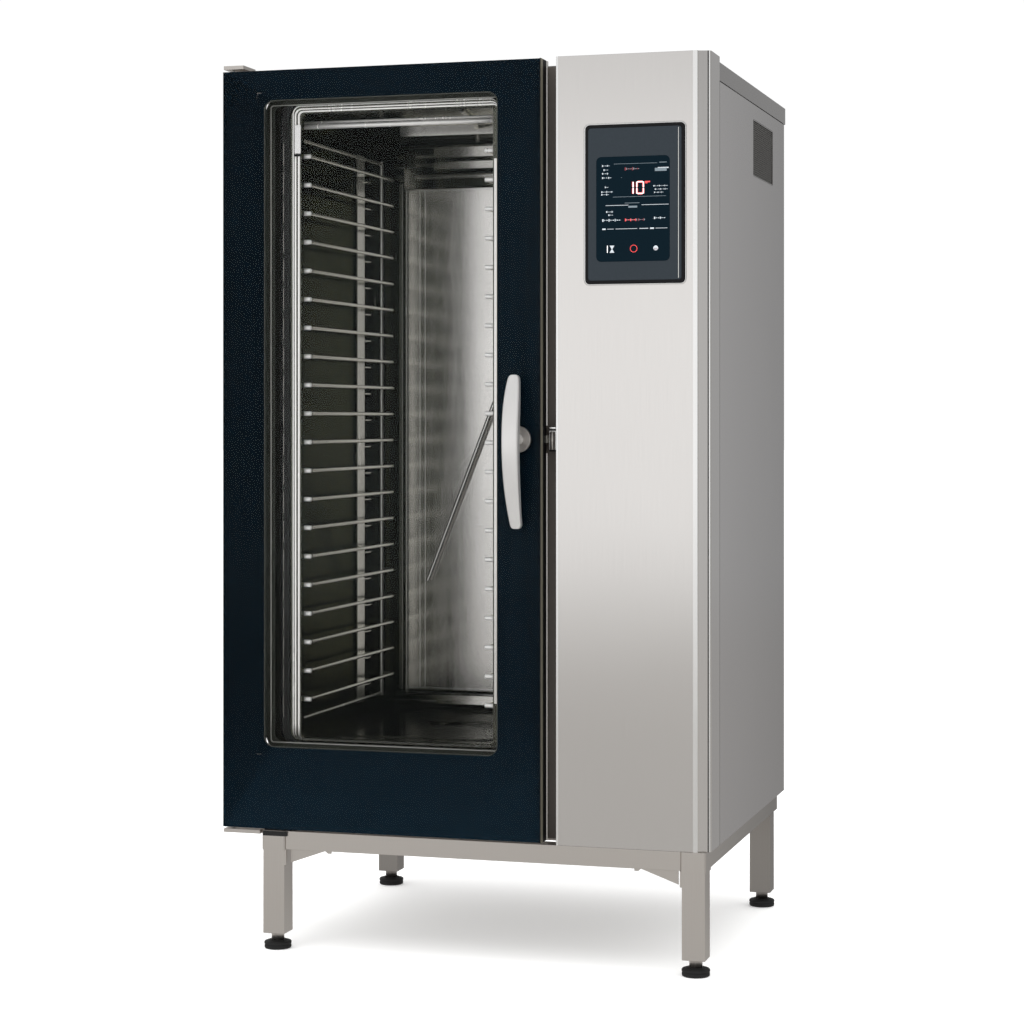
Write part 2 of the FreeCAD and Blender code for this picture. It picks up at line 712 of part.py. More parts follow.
def build_insulation():
    """Mineral wool slabs on the liner's left, right, top, bottom and back."""
    thick = "insulation_gap"
    left = block("wool_left", "-liner_left - liner_sheet - " + thick, "liner_front", "liner_bottom",
                 thick, "liner_back - liner_front", "liner_top - liner_bottom")
    right = cut("wool_right", block("wool_right_plain", "-liner_right + liner_sheet", "liner_front",
                                    "liner_bottom", thick, "liner_back - liner_front",
                                    "liner_top - liner_bottom"),
                *[rod("wool_shaft_hole_" + name, "-liner_right - 5", "fan_depth", z, "hub_radius", "80",
                      ALONG_X) for name, z in FANS.items()],
                *[rod("wool_terminal_hole_" + name, "-liner_right - 5", "fan_depth",
                      f"{z} - coil_radius", "coil_tube - 1", "80", ALONG_X) for name, z in FANS.items()])
    base = cut("wool_base", block("wool_base_plain", "-liner_left", "liner_front",
                                  "liner_bottom - liner_sheet - " + thick,
                                  "liner_left - liner_right", "liner_back - liner_front", thick),
               rod("wool_drain_hole", "-drain_x", "drain_y", "liner_bottom - 90", "drain_radius", "120"))
    roof = cut("wool_roof", block("wool_roof_plain", "-liner_left", "liner_front", "liner_top + liner_sheet",
                                  "liner_left - liner_right", "liner_back - liner_front", "roof_wool"),
               rod("wool_flue_hole", "-vent_x", "vent_y", "liner_top", "vent_radius - spigot_step", "60"))
    back = block("wool_back", "-liner_left", "liner_back + liner_sheet", "liner_bottom",
                 "liner_left - liner_right", thick, "liner_top - liner_bottom")
    keep(group("insulation", left, right, base, roof, back))


def build_air_panels():
    """The removable rear panel, and the fan baffle with its two round intakes."""
    face = block("air_panel_face", "-air_panel_left", "air_panel_front", "air_panel_bottom",
                 "air_panel_left - air_panel_right", "liner_sheet", "air_panel_top - air_panel_bottom")
    flanges = [
        block("air_panel_flange_" + side, x, "air_panel_front", "air_panel_bottom", "liner_sheet",
              "liner_back - air_panel_front", "air_panel_top - air_panel_bottom")
        for side, x in (("left", "-air_panel_left"), ("right", "-air_panel_right - liner_sheet"))
    ]
    keep(fuse("rear_air_panel", face, *flanges))
    plate = block("baffle_plate", "-baffle_left", "baffle_front", "baffle_bottom",
                  "liner_sheet", "baffle_back - baffle_front", "baffle_top - baffle_bottom")
    holes = []
    through = "liner_sheet + 12"
    for name, z in FANS.items():
        for ring, (inner, outer) in enumerate(INTAKE_RINGS):
            disc = rod(f"intake_disc_{name}_{ring}", "-baffle_left - 5", "fan_depth", z, outer, through,
                       ALONG_X)
            core = rod(f"intake_core_{name}_{ring}", "-baffle_left - 6", "fan_depth", z, inner,
                       f"{through} + 2", ALONG_X)
            web_y = block(f"intake_web_y_{name}_{ring}", "-baffle_left - 6", "fan_depth - intake_reach",
                          f"{z} - intake_web / 2", f"{through} + 2", "2 * intake_reach", "intake_web")
            web_z = block(f"intake_web_z_{name}_{ring}", "-baffle_left - 6", "fan_depth - intake_web / 2",
                          f"{z} - intake_reach", f"{through} + 2", "intake_web", "2 * intake_reach")
            holes.append(cut(f"intake_ring_{name}_{ring}", disc, core, web_y, web_z))
    feet = [
        block(f"baffle_foot_{row}_{end}", "-baffle_left", y, z, "baffle_left - liner_right",
              "baffle_foot", "baffle_foot")
        for row, z in enumerate(("baffle_bottom + 2 * baffle_foot", "baffle_top - 3 * baffle_foot"))
        for end, y in enumerate(("baffle_front + baffle_foot", "baffle_back - 2 * baffle_foot"))
    ]
    keep(fuse("fan_baffle", cut("baffle_pierced", plate, *holes), *feet))


def wire(points, radius, bend):
    """Round wire along a path of straight runs joined by tangent arcs."""
    edges = []
    start = points[0]
    for before, corner, after in zip(points, points[1:], points[2:]):
        into = (corner - before).normalize()
        out = (after - corner).normalize()
        turn = into.getAngle(out)
        back = bend * math.tan(turn / 2)
        first = corner - into * back
        last = corner + out * back
        toward = (out - into).normalize()
        middle = corner + toward * (bend / math.cos(turn / 2) - bend)
        edges.append(Part.LineSegment(start, first).toShape())
        edges.append(Part.Arc(first, middle, last).toShape())
        start = last
    edges.append(Part.LineSegment(start, points[-1]).toShape())
    path = Part.Wire(edges)
    profile = Part.Wire(Part.Circle(points[0], points[1] - points[0], radius).toShape())
    return path.makePipeShell([profile], True, True, 2)


def build_racks():
    """Hang-in racks: bent wire rails welded to a front and a rear post and a wall strap."""
    for side, direction in (("left", 1), ("right", -1)):
        tip = -size("rack_left_tip") if direction > 0 else -size("rack_right_tip")
        post_x = tip - direction * size("rack_reach")
        rail_x = tip - direction * size("wire_radius")
        front, back = size("rack_front"), size("rack_back")
        low = size("first_rail")
        pitch = size("rail_pitch")
        count = int(size("rail_count"))
        high = low + pitch * (count - 1)
        foot = size("liner_bottom") + 30
        head = high + 45
        uprights = []
        for y in (front, back):
            uprights.append(Part.makeCylinder(size("post_radius"), head - foot, spot(post_x, y, foot)))
        for z in (foot + 6, head - 6):
            uprights.append(Part.makeCylinder(size("wire_radius"), back - front, spot(post_x, front, z),
                                              FreeCAD.Vector(0, 1, 0)))
        strap = size("strap_sheet")
        strap_x = post_x - strap / 2
        strap_y = size("strap_front")
        uprights.append(Part.makeBox(strap, size("strap_width"), head - foot, spot(strap_x, strap_y, foot)))
        keep(solid_feature(f"rack_{side}_frame", uprights[0].multiFuse(uprights[1:]).removeSplitter()))
        start_x = post_x + direction * (size("post_radius") - 0.5)
        hook_x = min(strap_x, rail_x) + strap / 2
        hook = size("rail_hook")
        rails = []
        for level in range(count):
            z = low + pitch * level
            points = [spot(start_x, front, z), spot(rail_x, front, z), spot(rail_x, back, z),
                      spot(start_x, back, z)]
            rail = wire(points, size("wire_radius"), size("rail_bend"))
            weld = Part.makeBox(abs(rail_x - strap_x) - strap / 2, hook, hook,
                                spot(hook_x, strap_y + size("strap_width") / 2, z - hook / 2))
            rails.append(rail.fuse(weld))
        keep(solid_feature(f"rack_{side}_rails", Part.makeCompound(rails)))


# ---------------------------------------------------------------- fans, heat, steam, services

def build_fans():
    """Radial fan wheels with their shafts, ring heaters round them, and motors behind the liner."""
    blades = 24
    thick, chord = size("vane_sheet"), size("vane_chord")
    rings = []
    motors = []
    for name, z in FANS.items():
        disc = rod("wheel_disc_" + name, "-fan_left + fan_width - fan_sheet", "fan_depth", z,
                   "fan_radius", "fan_sheet", ALONG_X)
        hub = rod("wheel_hub_" + name, "-fan_left + 10", "fan_depth", z, "hub_radius - 4",
                  "fan_width - 10", ALONG_X)
        shaft = rod("wheel_shaft_" + name, "-fan_left", "fan_depth", z, "shaft_radius",
                    "fan_left - motor_left + motor_length - 12", ALONG_X)
        rim = cut("wheel_rim_" + name,
                  rod("wheel_rim_out_" + name, "-fan_left", "fan_depth", z, "fan_radius", "fan_sheet",
                      ALONG_X),
                  rod("wheel_rim_in_" + name, "-fan_left - 1", "fan_depth", z, "fan_radius - fan_rim",
                      "fan_sheet + 2", ALONG_X))
        centre = spot(-size("fan_left"), size("fan_depth"), size(z))
        vanes = []
        for number in range(blades):
            inner = size("fan_radius") - chord - 1
            vane = Part.makeBox(size("fan_width"), thick, chord,
                                centre + FreeCAD.Vector(0, -thick / 2, inner))
            vane.rotate(centre + FreeCAD.Vector(0, 0, inner + chord / 2), FreeCAD.Vector(1, 0, 0),
                        size("vane_tilt"))
            vane.rotate(centre, FreeCAD.Vector(1, 0, 0), number * 360 / blades)
            vanes.append(vane)
        vane_ring = solid_feature("wheel_vanes_" + name, Part.makeCompound(vanes))
        keep(fuse("fan_wheel_" + name, disc, hub, shaft, rim, vane_ring))
        turns = [coil_ring(f"heater_turn_{name}_{number}", f"-fan_left + 8 + {number} * 18", "fan_depth", z,
                           "coil_radius", "coil_tube", ALONG_X) for number in range(3)]
        bridge = rod("heater_bridge_" + name, "-fan_left + 8", "fan_depth", f"{z} - coil_radius",
                     "coil_tube - 1", "fan_left - liner_right + 30", ALONG_X)
        rings.append(fuse("heater_" + name, *turns, bridge))
        case = rod("motor_case_" + name, "-motor_left", "fan_depth", z, "motor_radius", "motor_length",
                   ALONG_X)
        bore = rod("motor_bore_" + name, "-motor_left - 1", "fan_depth", z, "shaft_radius + shaft_gap",
                   "motor_length - 10", ALONG_X)
        box = block("motor_box_" + name, "-motor_left + 30", "fan_depth - 40", f"{z} + motor_radius - 8",
                    "terminal_length", "terminal_depth", "terminal_height")
        motors.append(cut("motor_" + name, fuse("motor_solid_" + name, case, box), bore))
    keep(group("heating_coils", *rings))
    keep(group("fan_motors", *motors))


def build_steam():
    """Steam lance across the rear panel, spray pipe under the ceiling, and the steam generator."""
    y = size("air_panel_front") - size("lance_gap")
    top = size("lance_top")
    lance = wire([spot(-size("baffle_left"), y, top), spot(-size("lance_elbow"), y, top),
                  spot(-size("lance_tip"), y, size("lance_low"))], size("lance_radius"), size("lance_bend"))
    keep(solid_feature("steam_lance", lance))
    ceiling = size("liner_top") - size("spray_radius") - size("spray_gap")
    pipe = wire([spot(x, y, ceiling) for x, y in SPRAY_ROUTE], size("spray_radius"), size("spray_bend"))
    keep(solid_feature("spray_pipe", pipe))
    tank = rod("generator_tank", "-tank_x", "tank_y", "tank_bottom", "tank_radius", "tank_height")
    flange = rod("generator_flange", "-tank_x", "tank_y", "tank_bottom + tank_height",
                 "tank_radius + 5 * tank_wall", "tank_flange")
    cap = rod("generator_cap", "-tank_x", "tank_y", "tank_bottom + tank_height + tank_flange",
              "tank_radius / 2", "tank_radius / 2")
    inside = rod("generator_inside", "-tank_x", "tank_y", "tank_bottom + tank_wall",
                 "tank_radius - tank_wall", "tank_height - 2 * tank_wall")
    feed = rod("generator_feed", "-tank_x", "tank_y", "tank_bottom - 1", "tank_feed", "2 * tank_wall")
    keep(cut("steam_generator", fuse("generator_shell", tank, flange, cap), inside, feed))


def build_lamp():
    """Two upright lamp strips in the door, hidden beside the window behind the enamel."""
    strips = [block("lamp_strip_" + z, "-window_left + window_width + lamp_width / 2", "lamp_width", z,
                    "lamp_width", "lamp_depth", "lamp_length") for z in ("lamp_low", "lamp_high")]
    keep(group("door_lamps", *strips))


def build_drain():
    """Floor strainer with slots, and the trap pipe that leaves through the rear panel."""
    disc = rod("strainer_disc", "-drain_x", "drain_y", "liner_bottom", "drain_radius + strainer_rim",
               "strainer_sheet")
    slots = [block(f"strainer_slot_{number}", "-drain_x - 2.5 * strainer_pitch",
                   f"drain_y + ({number} - 2.2) * strainer_pitch", "liner_bottom - 1",
                   "5 * strainer_pitch", "strainer_sheet", "2 * strainer_sheet") for number in range(5)]
    keep(cut("drain_strainer", disc, *slots))
    low = "cabinet_bottom + 3 * liner_sheet"
    wall = "liner_sheet + spigot_step"
    outside = rod("drain_outside", "-drain_x", "drain_y", low, "drain_radius",
                  f"liner_bottom - ({low})")
    run = rod("drain_run", "-drain_x", "drain_y", "drain_outlet_z", "drain_radius - spigot_step",
              "cabinet_back + spigot_length - drain_y", ALONG_Y)
    spigot = rod("drain_spigot", "-drain_x", "cabinet_back", "drain_outlet_z", "drain_radius",
                 "spigot_length", ALONG_Y)
    bore = rod("drain_bore", "-drain_x", "drain_y", f"{low} + {wall}", "drain_radius - liner_sheet",
               "liner_bottom - cabinet_bottom")
    run_bore = rod("drain_run_bore", "-drain_x", "drain_y", "drain_outlet_z", f"drain_radius - ({wall})",
                   "cabinet_back", ALONG_Y)
    keep(cut("drain_pipe", fuse("drain_solid", outside, run, spigot), bore, run_bore))


def build_services():
    """Water inlet, cable gland, flue, contactors and the cooling fan of the technical compartment."""
    body = block("valve_body", "-inlet_x - valve_side / 2", "cabinet_back - sheet - valve_depth",
                 "inlet_z - valve_side / 2", "valve_side", "valve_depth", "valve_side")
    coil = rod("valve_coil_case", "-inlet_x", "cabinet_back - sheet - valve_depth / 2",
               "inlet_z + valve_side / 2", "valve_coil", "valve_side")
    neck = rod("valve_neck", "-inlet_x", "cabinet_back - sheet", "inlet_z", "inlet_radius - spigot_step",
               "sheet", ALONG_Y)
    nipple = rod("valve_nipple", "-inlet_x", "cabinet_back", "inlet_z", "inlet_radius", "spigot_length",
                 ALONG_Y)
    bore = rod("valve_through", "-inlet_x", "cabinet_back - spigot_length", "inlet_z", "valve_bore",
               "valve_depth", ALONG_Y)
    keep(cut("water_valve", fuse("valve_solid", body, coil, neck, nipple), bore))
    gland = rod("gland_barrel", "-gland_x", "cabinet_back + 14 - gland_length", "gland_z", "gland_radius",
                "gland_length", ALONG_Y)
    nut = rod("gland_nut_ring", "-gland_x", "cabinet_back", "gland_z", "gland_nut", "gland_length / 4",
              ALONG_Y)
    through = rod("gland_through", "-gland_x", "cabinet_back - gland_length", "gland_z", "gland_bore",
                  "2 * gland_length", ALONG_Y)
    keep(cut("cable_gland", fuse("gland_solid", gland, nut), through))
    flue = rod("flue_tube", "-vent_x", "vent_y", "liner_top", "vent_radius - spigot_step",
               "flue_top - liner_top")
    collar = rod("flue_collar", "-vent_x", "vent_y", "lid_top", "vent_radius", "flue_top - lid_top")
    flue_bore = rod("flue_bore", "-vent_x", "vent_y", "liner_top - 1",
                    "vent_radius - spigot_step - liner_sheet", "flue_top - liner_top + 2")
    keep(cut("flue", fuse("flue_outside", flue, collar), flue_bore))
    rail = block("contactor_rail_bar", "-contactor_x", "contactor_y", "contactor_z", "8", "300", "35")
    switches = [block(f"contactor_{number}", "-contactor_x + 8",
                      f"contactor_y + 10 + {number} * contactor_pitch", "contactor_z - 25", "70", "50", "85")
                for number in range(5)]
    keep(fuse("contactor_bank", rail, *switches))


def build_cooling_fan():
    """Axial fan behind the side vent."""
    left = "-sheet - cooling_gap - cooling_depth"
    frame = block("cooling_frame_block", left, "cooling_y - cooling_wide / 2",
                  "cooling_z - cooling_tall / 2", "cooling_depth", "cooling_wide", "cooling_tall")
    opening = rod("cooling_frame_hole", f"{left} - 1", "cooling_y", "cooling_z", "cooling_radius + 2",
                  "cooling_depth + 2", ALONG_X)
    spokes = [
        block("cooling_spoke_y", left, "cooling_y - cooling_wide / 2 + 2", "cooling_z - cooling_spoke / 2",
              "cooling_spoke / 2", "cooling_wide - 4", "cooling_spoke"),
        block("cooling_spoke_z", left, "cooling_y - cooling_spoke / 2", "cooling_z - cooling_tall / 2 + 2",
              "cooling_spoke / 2", "cooling_spoke", "cooling_tall - 4"),
    ]
    keep(fuse("cooling_fan_frame", cut("cooling_frame_ring", frame, opening), *spokes))
    hub_gap = 3.5
    deep = size("cooling_hub")
    hub = rod("cooling_hub_drum", f"{left} + {hub_gap}", "cooling_y", "cooling_z", "cooling_hub",
              "cooling_hub + 2", ALONG_X)
    centre = spot(-size("sheet") - size("cooling_gap") - size("cooling_depth") + hub_gap + 1,
                  size("cooling_y"), size("cooling_z"))
    blades = 7
    vanes = []
    for number in range(blades):
        vane = Part.makeBox(deep, 2.5, size("cooling_radius") - deep + 2,
                            centre + FreeCAD.Vector(0, -1.25, deep - 3))
        vane.rotate(centre + FreeCAD.Vector(deep / 2, 0, 30), FreeCAD.Vector(0, 0, 1), size("vane_tilt"))
        vane.rotate(centre, FreeCAD.Vector(1, 0, 0), number * 360 / blades)
        vanes.append(vane)
    keep(fuse("cooling_fan_rotor", hub, solid_feature("cooling_vanes", Part.makeCompound(vanes))))


# ---------------------------------------------------------------- door and its hardware

def build_door():
    ring_deep = "door_back - door_front - glass - enamel"
    frame_front = "door_front + glass + enamel"
    lip = "frame_opening_lip"
    spindle = rod("door_spindle_hole", "-handle_x", "door_front - 1", "handle_z",
                  "spindle_radius + pin_gap", "52", ALONG_Y)
    pane = block("outer_glass_plain", "-door_left", "door_front", "door_bottom",
                 "door_width", "glass", "door_height")
    keep(cut("door_outer_glass", pane, spindle))
    enamel = block("enamel_plain", "-door_left", "door_front + glass", "door_bottom",
                   "door_width", "enamel", "door_height")
    clear = rounded_plate("enamel_window", "-window_left", "door_front", "window_bottom",
                          "window_width", "20", "window_height", size("window_corner"))
    keep(cut("door_enamel", enamel, clear, spindle))
    outer = block("door_frame_block", "-door_left", frame_front, "door_bottom",
                  "door_width", ring_deep, "door_height")
    opening = block("door_frame_opening", f"-window_left - {lip}", f"{frame_front} - 1",
                    f"window_bottom - {lip}", f"window_width + 2 * {lip}", "60",
                    f"window_height + 2 * {lip}")
    hollow = cut("door_frame_hollow",
                 block("door_hollow_outer", "-door_left + liner_sheet", f"{frame_front} - 1",
                       "door_bottom + liner_sheet", "door_width - 2 * liner_sheet",
                       f"{ring_deep} - liner_sheet - glass - 1", "door_height - 2 * liner_sheet"),
                 block("door_hollow_inner", f"-window_left - {lip} - liner_sheet", f"{frame_front} - 2",
                       f"window_bottom - {lip} - liner_sheet",
                       f"window_width + 2 * {lip} + 2 * liner_sheet", "70",
                       f"window_height + 2 * {lip} + 2 * liner_sheet"))
    recess_edge = f"({lip} + inner_glass_lip)"
    recess = block("door_glass_recess", f"-window_left - {recess_edge}", "door_back - glass",
                   f"window_bottom - {recess_edge}", f"window_width + 2 * {recess_edge}", "20",
                   f"window_height + 2 * {recess_edge}")
    pin_holes = [
        rod("door_pin_hole_low", "-hinge_x", "hinge_y", "door_bottom - 1", "pin_radius + pin_gap", "30"),
        rod("door_pin_hole_top", "-hinge_x", "hinge_y", "door_bottom + door_height - 28",
            "pin_radius + pin_gap", "30"),
    ]
    bosses = [
        block("door_boss_low", "-door_left", "hinge_y - boss / 2 + 1", "door_bottom", "boss", "boss - 2",
              "boss"),
        block("door_boss_top", "-door_left", "hinge_y - boss / 2 + 1", "door_bottom + door_height - boss",
              "boss", "boss - 2", "boss"),
    ]
    guide = block("latch_guide", "-handle_x + bolt_thick", "bolt_thick / 2", "handle_z - guide_side / 2",
                  "guide_side + 1", "2 * bolt_thick", "guide_side")
    guide_slot = block("latch_guide_slot", "-handle_x - 10", "bolt_thick - bolt_play",
                       "handle_z - bolt_height / 2 - bolt_play", "80", "bolt_thick + 2 * bolt_play",
                       "bolt_height + 2 * bolt_play")
    shell = cut("door_frame_shell", outer, opening, hollow, recess)
    keep(cut("door_frame", fuse("door_frame_joined", shell, guide, *bosses),
             guide_slot, spindle, *pin_holes))
    reach = f"({lip} + inner_glass_lip - 0.5)"
    keep(block("door_inner_glass", f"-window_left - {reach}", "door_back - glass",
               f"window_bottom - {reach}", f"window_width + 2 * {reach}", "glass",
               f"window_height + 2 * {reach}"))


def build_hinges():
    """Hinge brackets on the cabinet, above and below the door, each carrying a pin."""
    ear = "door_left - hinge_ear_right"
    top_ear = block("hinge_top_ear", "-door_left", "hinge_y - 24", "hinge_top", ear, "66", "hinge_plate")
    top_riser = block("hinge_top_riser", "-door_left", "hinge_back", "lid_top", ear, "12",
                      "hinge_top - lid_top")
    top_foot = block("hinge_top_foot", "-door_left", "hinge_back", "lid_top", "160", "90", "hinge_plate")
    keep(fuse("hinge_bracket_top", top_ear, top_riser, top_foot))
    reach = "door_left - frame_left + socket_lip"
    low_ear = block("hinge_low_ear", "-door_left", "hinge_y - 24", "hinge_low",
                    f"{reach} - 2 * socket_lip", "110", "hinge_plate")
    low_flange = block("hinge_low_flange", "-frame_left - 3 + socket_lip", "hinge_back + 6",
                       "frame_bottom + 2", "3", "130", "hinge_low + hinge_plate - frame_bottom - 2")
    low_step = block("hinge_low_step", "-frame_left - 3", "hinge_back + 6", "hinge_low",
                     "3", "52", "hinge_plate")
    keep(fuse("hinge_bracket_low", low_ear, low_step, low_flange))
    pins = [
        rod("hinge_pin_low", "-hinge_x", "hinge_y", "hinge_low + hinge_plate", "pin_radius", "28"),
        rod("hinge_pin_top", "-hinge_x", "hinge_y", "hinge_top - 28", "pin_radius", "28"),
    ]
    keep(group("hinge_pins", *pins))


def build_handle():
    """Bowed lever handle on a round spindle, with the round rose that it turns in."""
    rose = rod("rose_disc", "-handle_x", "door_front - 8", "handle_z", "hub_disc", "8", ALONG_Y)
    rose_hole = rod("rose_hole", "-handle_x", "door_front - 9", "handle_z", "spindle_radius + pin_gap",
                    "10", ALONG_Y)
    keep(cut("handle_rose", rose, rose_hole))
    top, bottom = size("handle_top"), size("handle_bottom")
    middle = (top + bottom) / 2
    thick = size("handle_thick")
    body = DOC.addObject("PartDesign::Body", "handle_grip")
    profile = sketch_on(body, "grip_side", "YZ_Plane")
    front = Part.Arc(FreeCAD.Vector(-size("handle_top_stand"), top - middle, 0),
                     FreeCAD.Vector(-size("handle_bow"), 0, 0),
                     FreeCAD.Vector(-size("handle_low_stand"), bottom - middle, 0))
    rear = Part.Arc(FreeCAD.Vector(-size("handle_top_stand") + thick, top - middle, 0),
                    FreeCAD.Vector(-size("handle_bow") + thick, 0, 0),
                    FreeCAD.Vector(-size("handle_low_stand") + thick, bottom - middle, 0))
    profile.addGeometry([front, rear])
    profile.addGeometry(Part.LineSegment(front.StartPoint, rear.StartPoint))
    profile.addGeometry(Part.LineSegment(front.EndPoint, rear.EndPoint))
    for number in range(4):
        profile.addConstraint(Sketcher.Constraint("Block", number))
    bow = pad(body, "grip_bow", profile, "handle_wide")
    bow.Midplane = True
    place(body, "-handle_x", "0", str(middle))
    wide, narrow = size("handle_wide") / 2, size("handle_narrow") / 2
    side = DOC.addObject("PartDesign::Body", "handle_outline")
    outline = sketch_on(side, "grip_front", "XZ_Plane")
    half = (top - bottom) / 2
    polygon(outline, [(-narrow - 5, half), (-wide, half - 40), (-wide, -20), (-narrow, -half),
                      (narrow, -half), (wide, -20), (wide, half - 40), (narrow + 5, half)])
    depth = pad(side, "grip_outline_pad", outline, "200")
    depth.Midplane = True
    place(side, "-handle_x", "0", str(middle))
    grip = DOC.addObject("Part::Common", "handle_shape")
    grip.Base = body
    grip.Tool = side
    neck = rod("handle_neck", "-handle_x", "door_front - 62", "handle_z", "12", "53.7", ALONG_Y)
    spindle = rod("handle_spindle", "-handle_x", "door_front - 20", "handle_z", "spindle_radius", "60",
                  ALONG_Y)
    keep(fuse("door_handle", grip, neck, spindle))


def build_latch():
    """Sliding latch bolt in the door's edge, its keeper on the front frame, and the door's rest pad."""
    keep(block("latch_bolt", "-keeper_left - 1 - bolt_length", "bolt_thick", "handle_z - bolt_height / 2",
               "bolt_length", "bolt_thick", "bolt_height"))
    plate = block("keeper_plate", "-keeper_left", "front_face - keeper_sheet",
                  "handle_z - keeper_height / 2", "keeper_width", "keeper_sheet", "keeper_height")
    roller = block("keeper_block", "-keeper_left", "front_face - keeper_depth",
                   "handle_z - keeper_height / 2", "keeper_width", "keeper_depth", "keeper_height")
    keep(fuse("latch_keeper", plate, roller))
    keep(block("door_rest_pad", "-leg_left + 1", "2", "cabinet_bottom", "59", "30", "4"))


def build_screws():
    """Screw heads that hold the rear panel."""
    sides = {"left": "-cabinet_width + screw_inset", "right": "-screw_inset"}
    screws = [
        rod(f"rear_screw_{side}_{number}", x, "cabinet_back", z, "screw_radius", "screw_head", ALONG_Y)
        for number, z in enumerate((320, 700, 1100, 1500, 1790))
        for side, x in sides.items()
    ]
    keep(group("panel_screws", *screws))


# ---------------------------------------------------------------- checking and writing

def check_document():
    DOC.recompute()
    for thing in DOC.Objects:
        if "Invalid" in thing.State or "Error" in thing.State:
            raise RuntimeError(f"{thing.Label} failed: {thing.State}")
    labels = [thing.Label for thing in NODES]
    if len(set(labels)) != len(labels):
        raise RuntimeError("two sub-parts share a label")
    for thing in NODES:
        if thing.Shape.isNull() or not thing.Shape.isValid():
            raise RuntimeError(f"{thing.Label} has no valid shape")


def write_parts():
    os.makedirs("parts", exist_ok=True)
    for thing in NODES:
        thing.Shape.exportStep(f"parts/{thing.Label}.step")
    print(len(NODES), "parts written")


fill_sheet()
build_frame()
build_legs()
build_feet()
build_shell()
build_vent()
build_column()
build_controls()
build_cavity()
build_insulation()
build_air_panels()
build_racks()
build_fans()
build_steam()
build_lamp()
build_drain()
build_services()
build_cooling_fan()
build_door()
build_hinges()
build_handle()
build_latch()
build_screws()
check_document()
write_parts()
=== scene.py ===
import json
import math
import bmesh
import bpy
from mathutils import Matrix, Vector


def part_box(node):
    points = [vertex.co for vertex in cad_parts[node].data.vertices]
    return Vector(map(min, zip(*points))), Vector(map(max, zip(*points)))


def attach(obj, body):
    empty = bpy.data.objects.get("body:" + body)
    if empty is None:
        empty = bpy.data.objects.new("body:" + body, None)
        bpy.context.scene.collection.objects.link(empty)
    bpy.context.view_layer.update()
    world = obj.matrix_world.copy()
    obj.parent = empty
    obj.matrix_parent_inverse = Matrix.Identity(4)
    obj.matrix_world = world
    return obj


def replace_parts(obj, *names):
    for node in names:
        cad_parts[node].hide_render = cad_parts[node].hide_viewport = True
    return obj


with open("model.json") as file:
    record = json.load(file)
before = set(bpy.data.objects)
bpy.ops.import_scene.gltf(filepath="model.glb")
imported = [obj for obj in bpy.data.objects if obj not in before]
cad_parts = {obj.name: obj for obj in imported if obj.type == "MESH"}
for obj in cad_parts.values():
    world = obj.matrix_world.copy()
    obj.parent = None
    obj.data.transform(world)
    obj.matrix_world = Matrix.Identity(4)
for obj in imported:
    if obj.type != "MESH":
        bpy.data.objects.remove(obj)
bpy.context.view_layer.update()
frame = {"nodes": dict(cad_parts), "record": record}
nodes = frame["nodes"]
MM = 0.001


def low(node):
    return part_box(node)[0]


def high(node):
    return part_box(node)[1]


def middle(node):
    return [(first + last) / 2 for first, last in zip(*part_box(node))]


# ---------------------------- materials

MATERIALS = {}


def shader(name, **values):
    """Makes a Principled material with the given socket values; returns its tree and shader node."""
    material = bpy.data.materials.new(name)
    MATERIALS[name] = material
    material.use_nodes = True
    tree = material.node_tree
    surface = tree.nodes["Principled BSDF"]
    for key, value in values.items():
        socket = surface.inputs[key.replace("_", " ")]
        socket.default_value = (*value, 1.0) if isinstance(value, tuple) else value
    return tree, surface


def noise(tree, scale, detail=3.0, roughness=0.55, stretch=(1, 1, 1)):
    """Noise in object space, stretched along an axis by a small factor there."""
    place = tree.nodes.new("ShaderNodeTexCoord")
    mapping = tree.nodes.new("ShaderNodeMapping")
    mapping.inputs["Scale"].default_value = stretch
    texture = tree.nodes.new("ShaderNodeTexNoise")
    texture.inputs["Scale"].default_value = scale
    texture.inputs["Detail"].default_value = detail
    texture.inputs["Roughness"].default_value = roughness
    tree.links.new(place.outputs["Object"], mapping.inputs["Vector"])
    tree.links.new(mapping.outputs["Vector"], texture.inputs["Vector"])
    return texture.outputs["Fac"]


def spread(tree, factor, first, last, start=0.3, end=0.7):
    """Maps a noise value to a range of numbers."""
    node = tree.nodes.new("ShaderNodeMapRange")
    node.inputs["From Min"].default_value = start
    node.inputs["From Max"].default_value = end
    node.inputs["To Min"].default_value = first
    node.inputs["To Max"].default_value = last
    tree.links.new(factor, node.inputs["Value"])
    return node.outputs["Result"]


def tint(tree, factor, dark, light, start=0.3, end=0.7):
    """Blends two colours by a noise value."""
    node = tree.nodes.new("ShaderNodeValToRGB")
    node.color_ramp.elements[0].position = start
    node.color_ramp.elements[0].color = (*dark, 1)
    node.color_ramp.elements[1].position = end
    node.color_ramp.elements[1].color = (*light, 1)
    tree.links.new(factor, node.inputs["Fac"])
    return node.outputs["Color"]


def bump(tree, surface, height, strength, distance):
    node = tree.nodes.new("ShaderNodeBump")
    node.inputs["Strength"].default_value = strength
    node.inputs["Distance"].default_value = distance
    tree.links.new(height, node.inputs["Height"])
    tree.links.new(node.outputs["Normal"], surface.inputs["Normal"])


def scaled(colour, factor):
    return tuple(channel * factor for channel in colour)


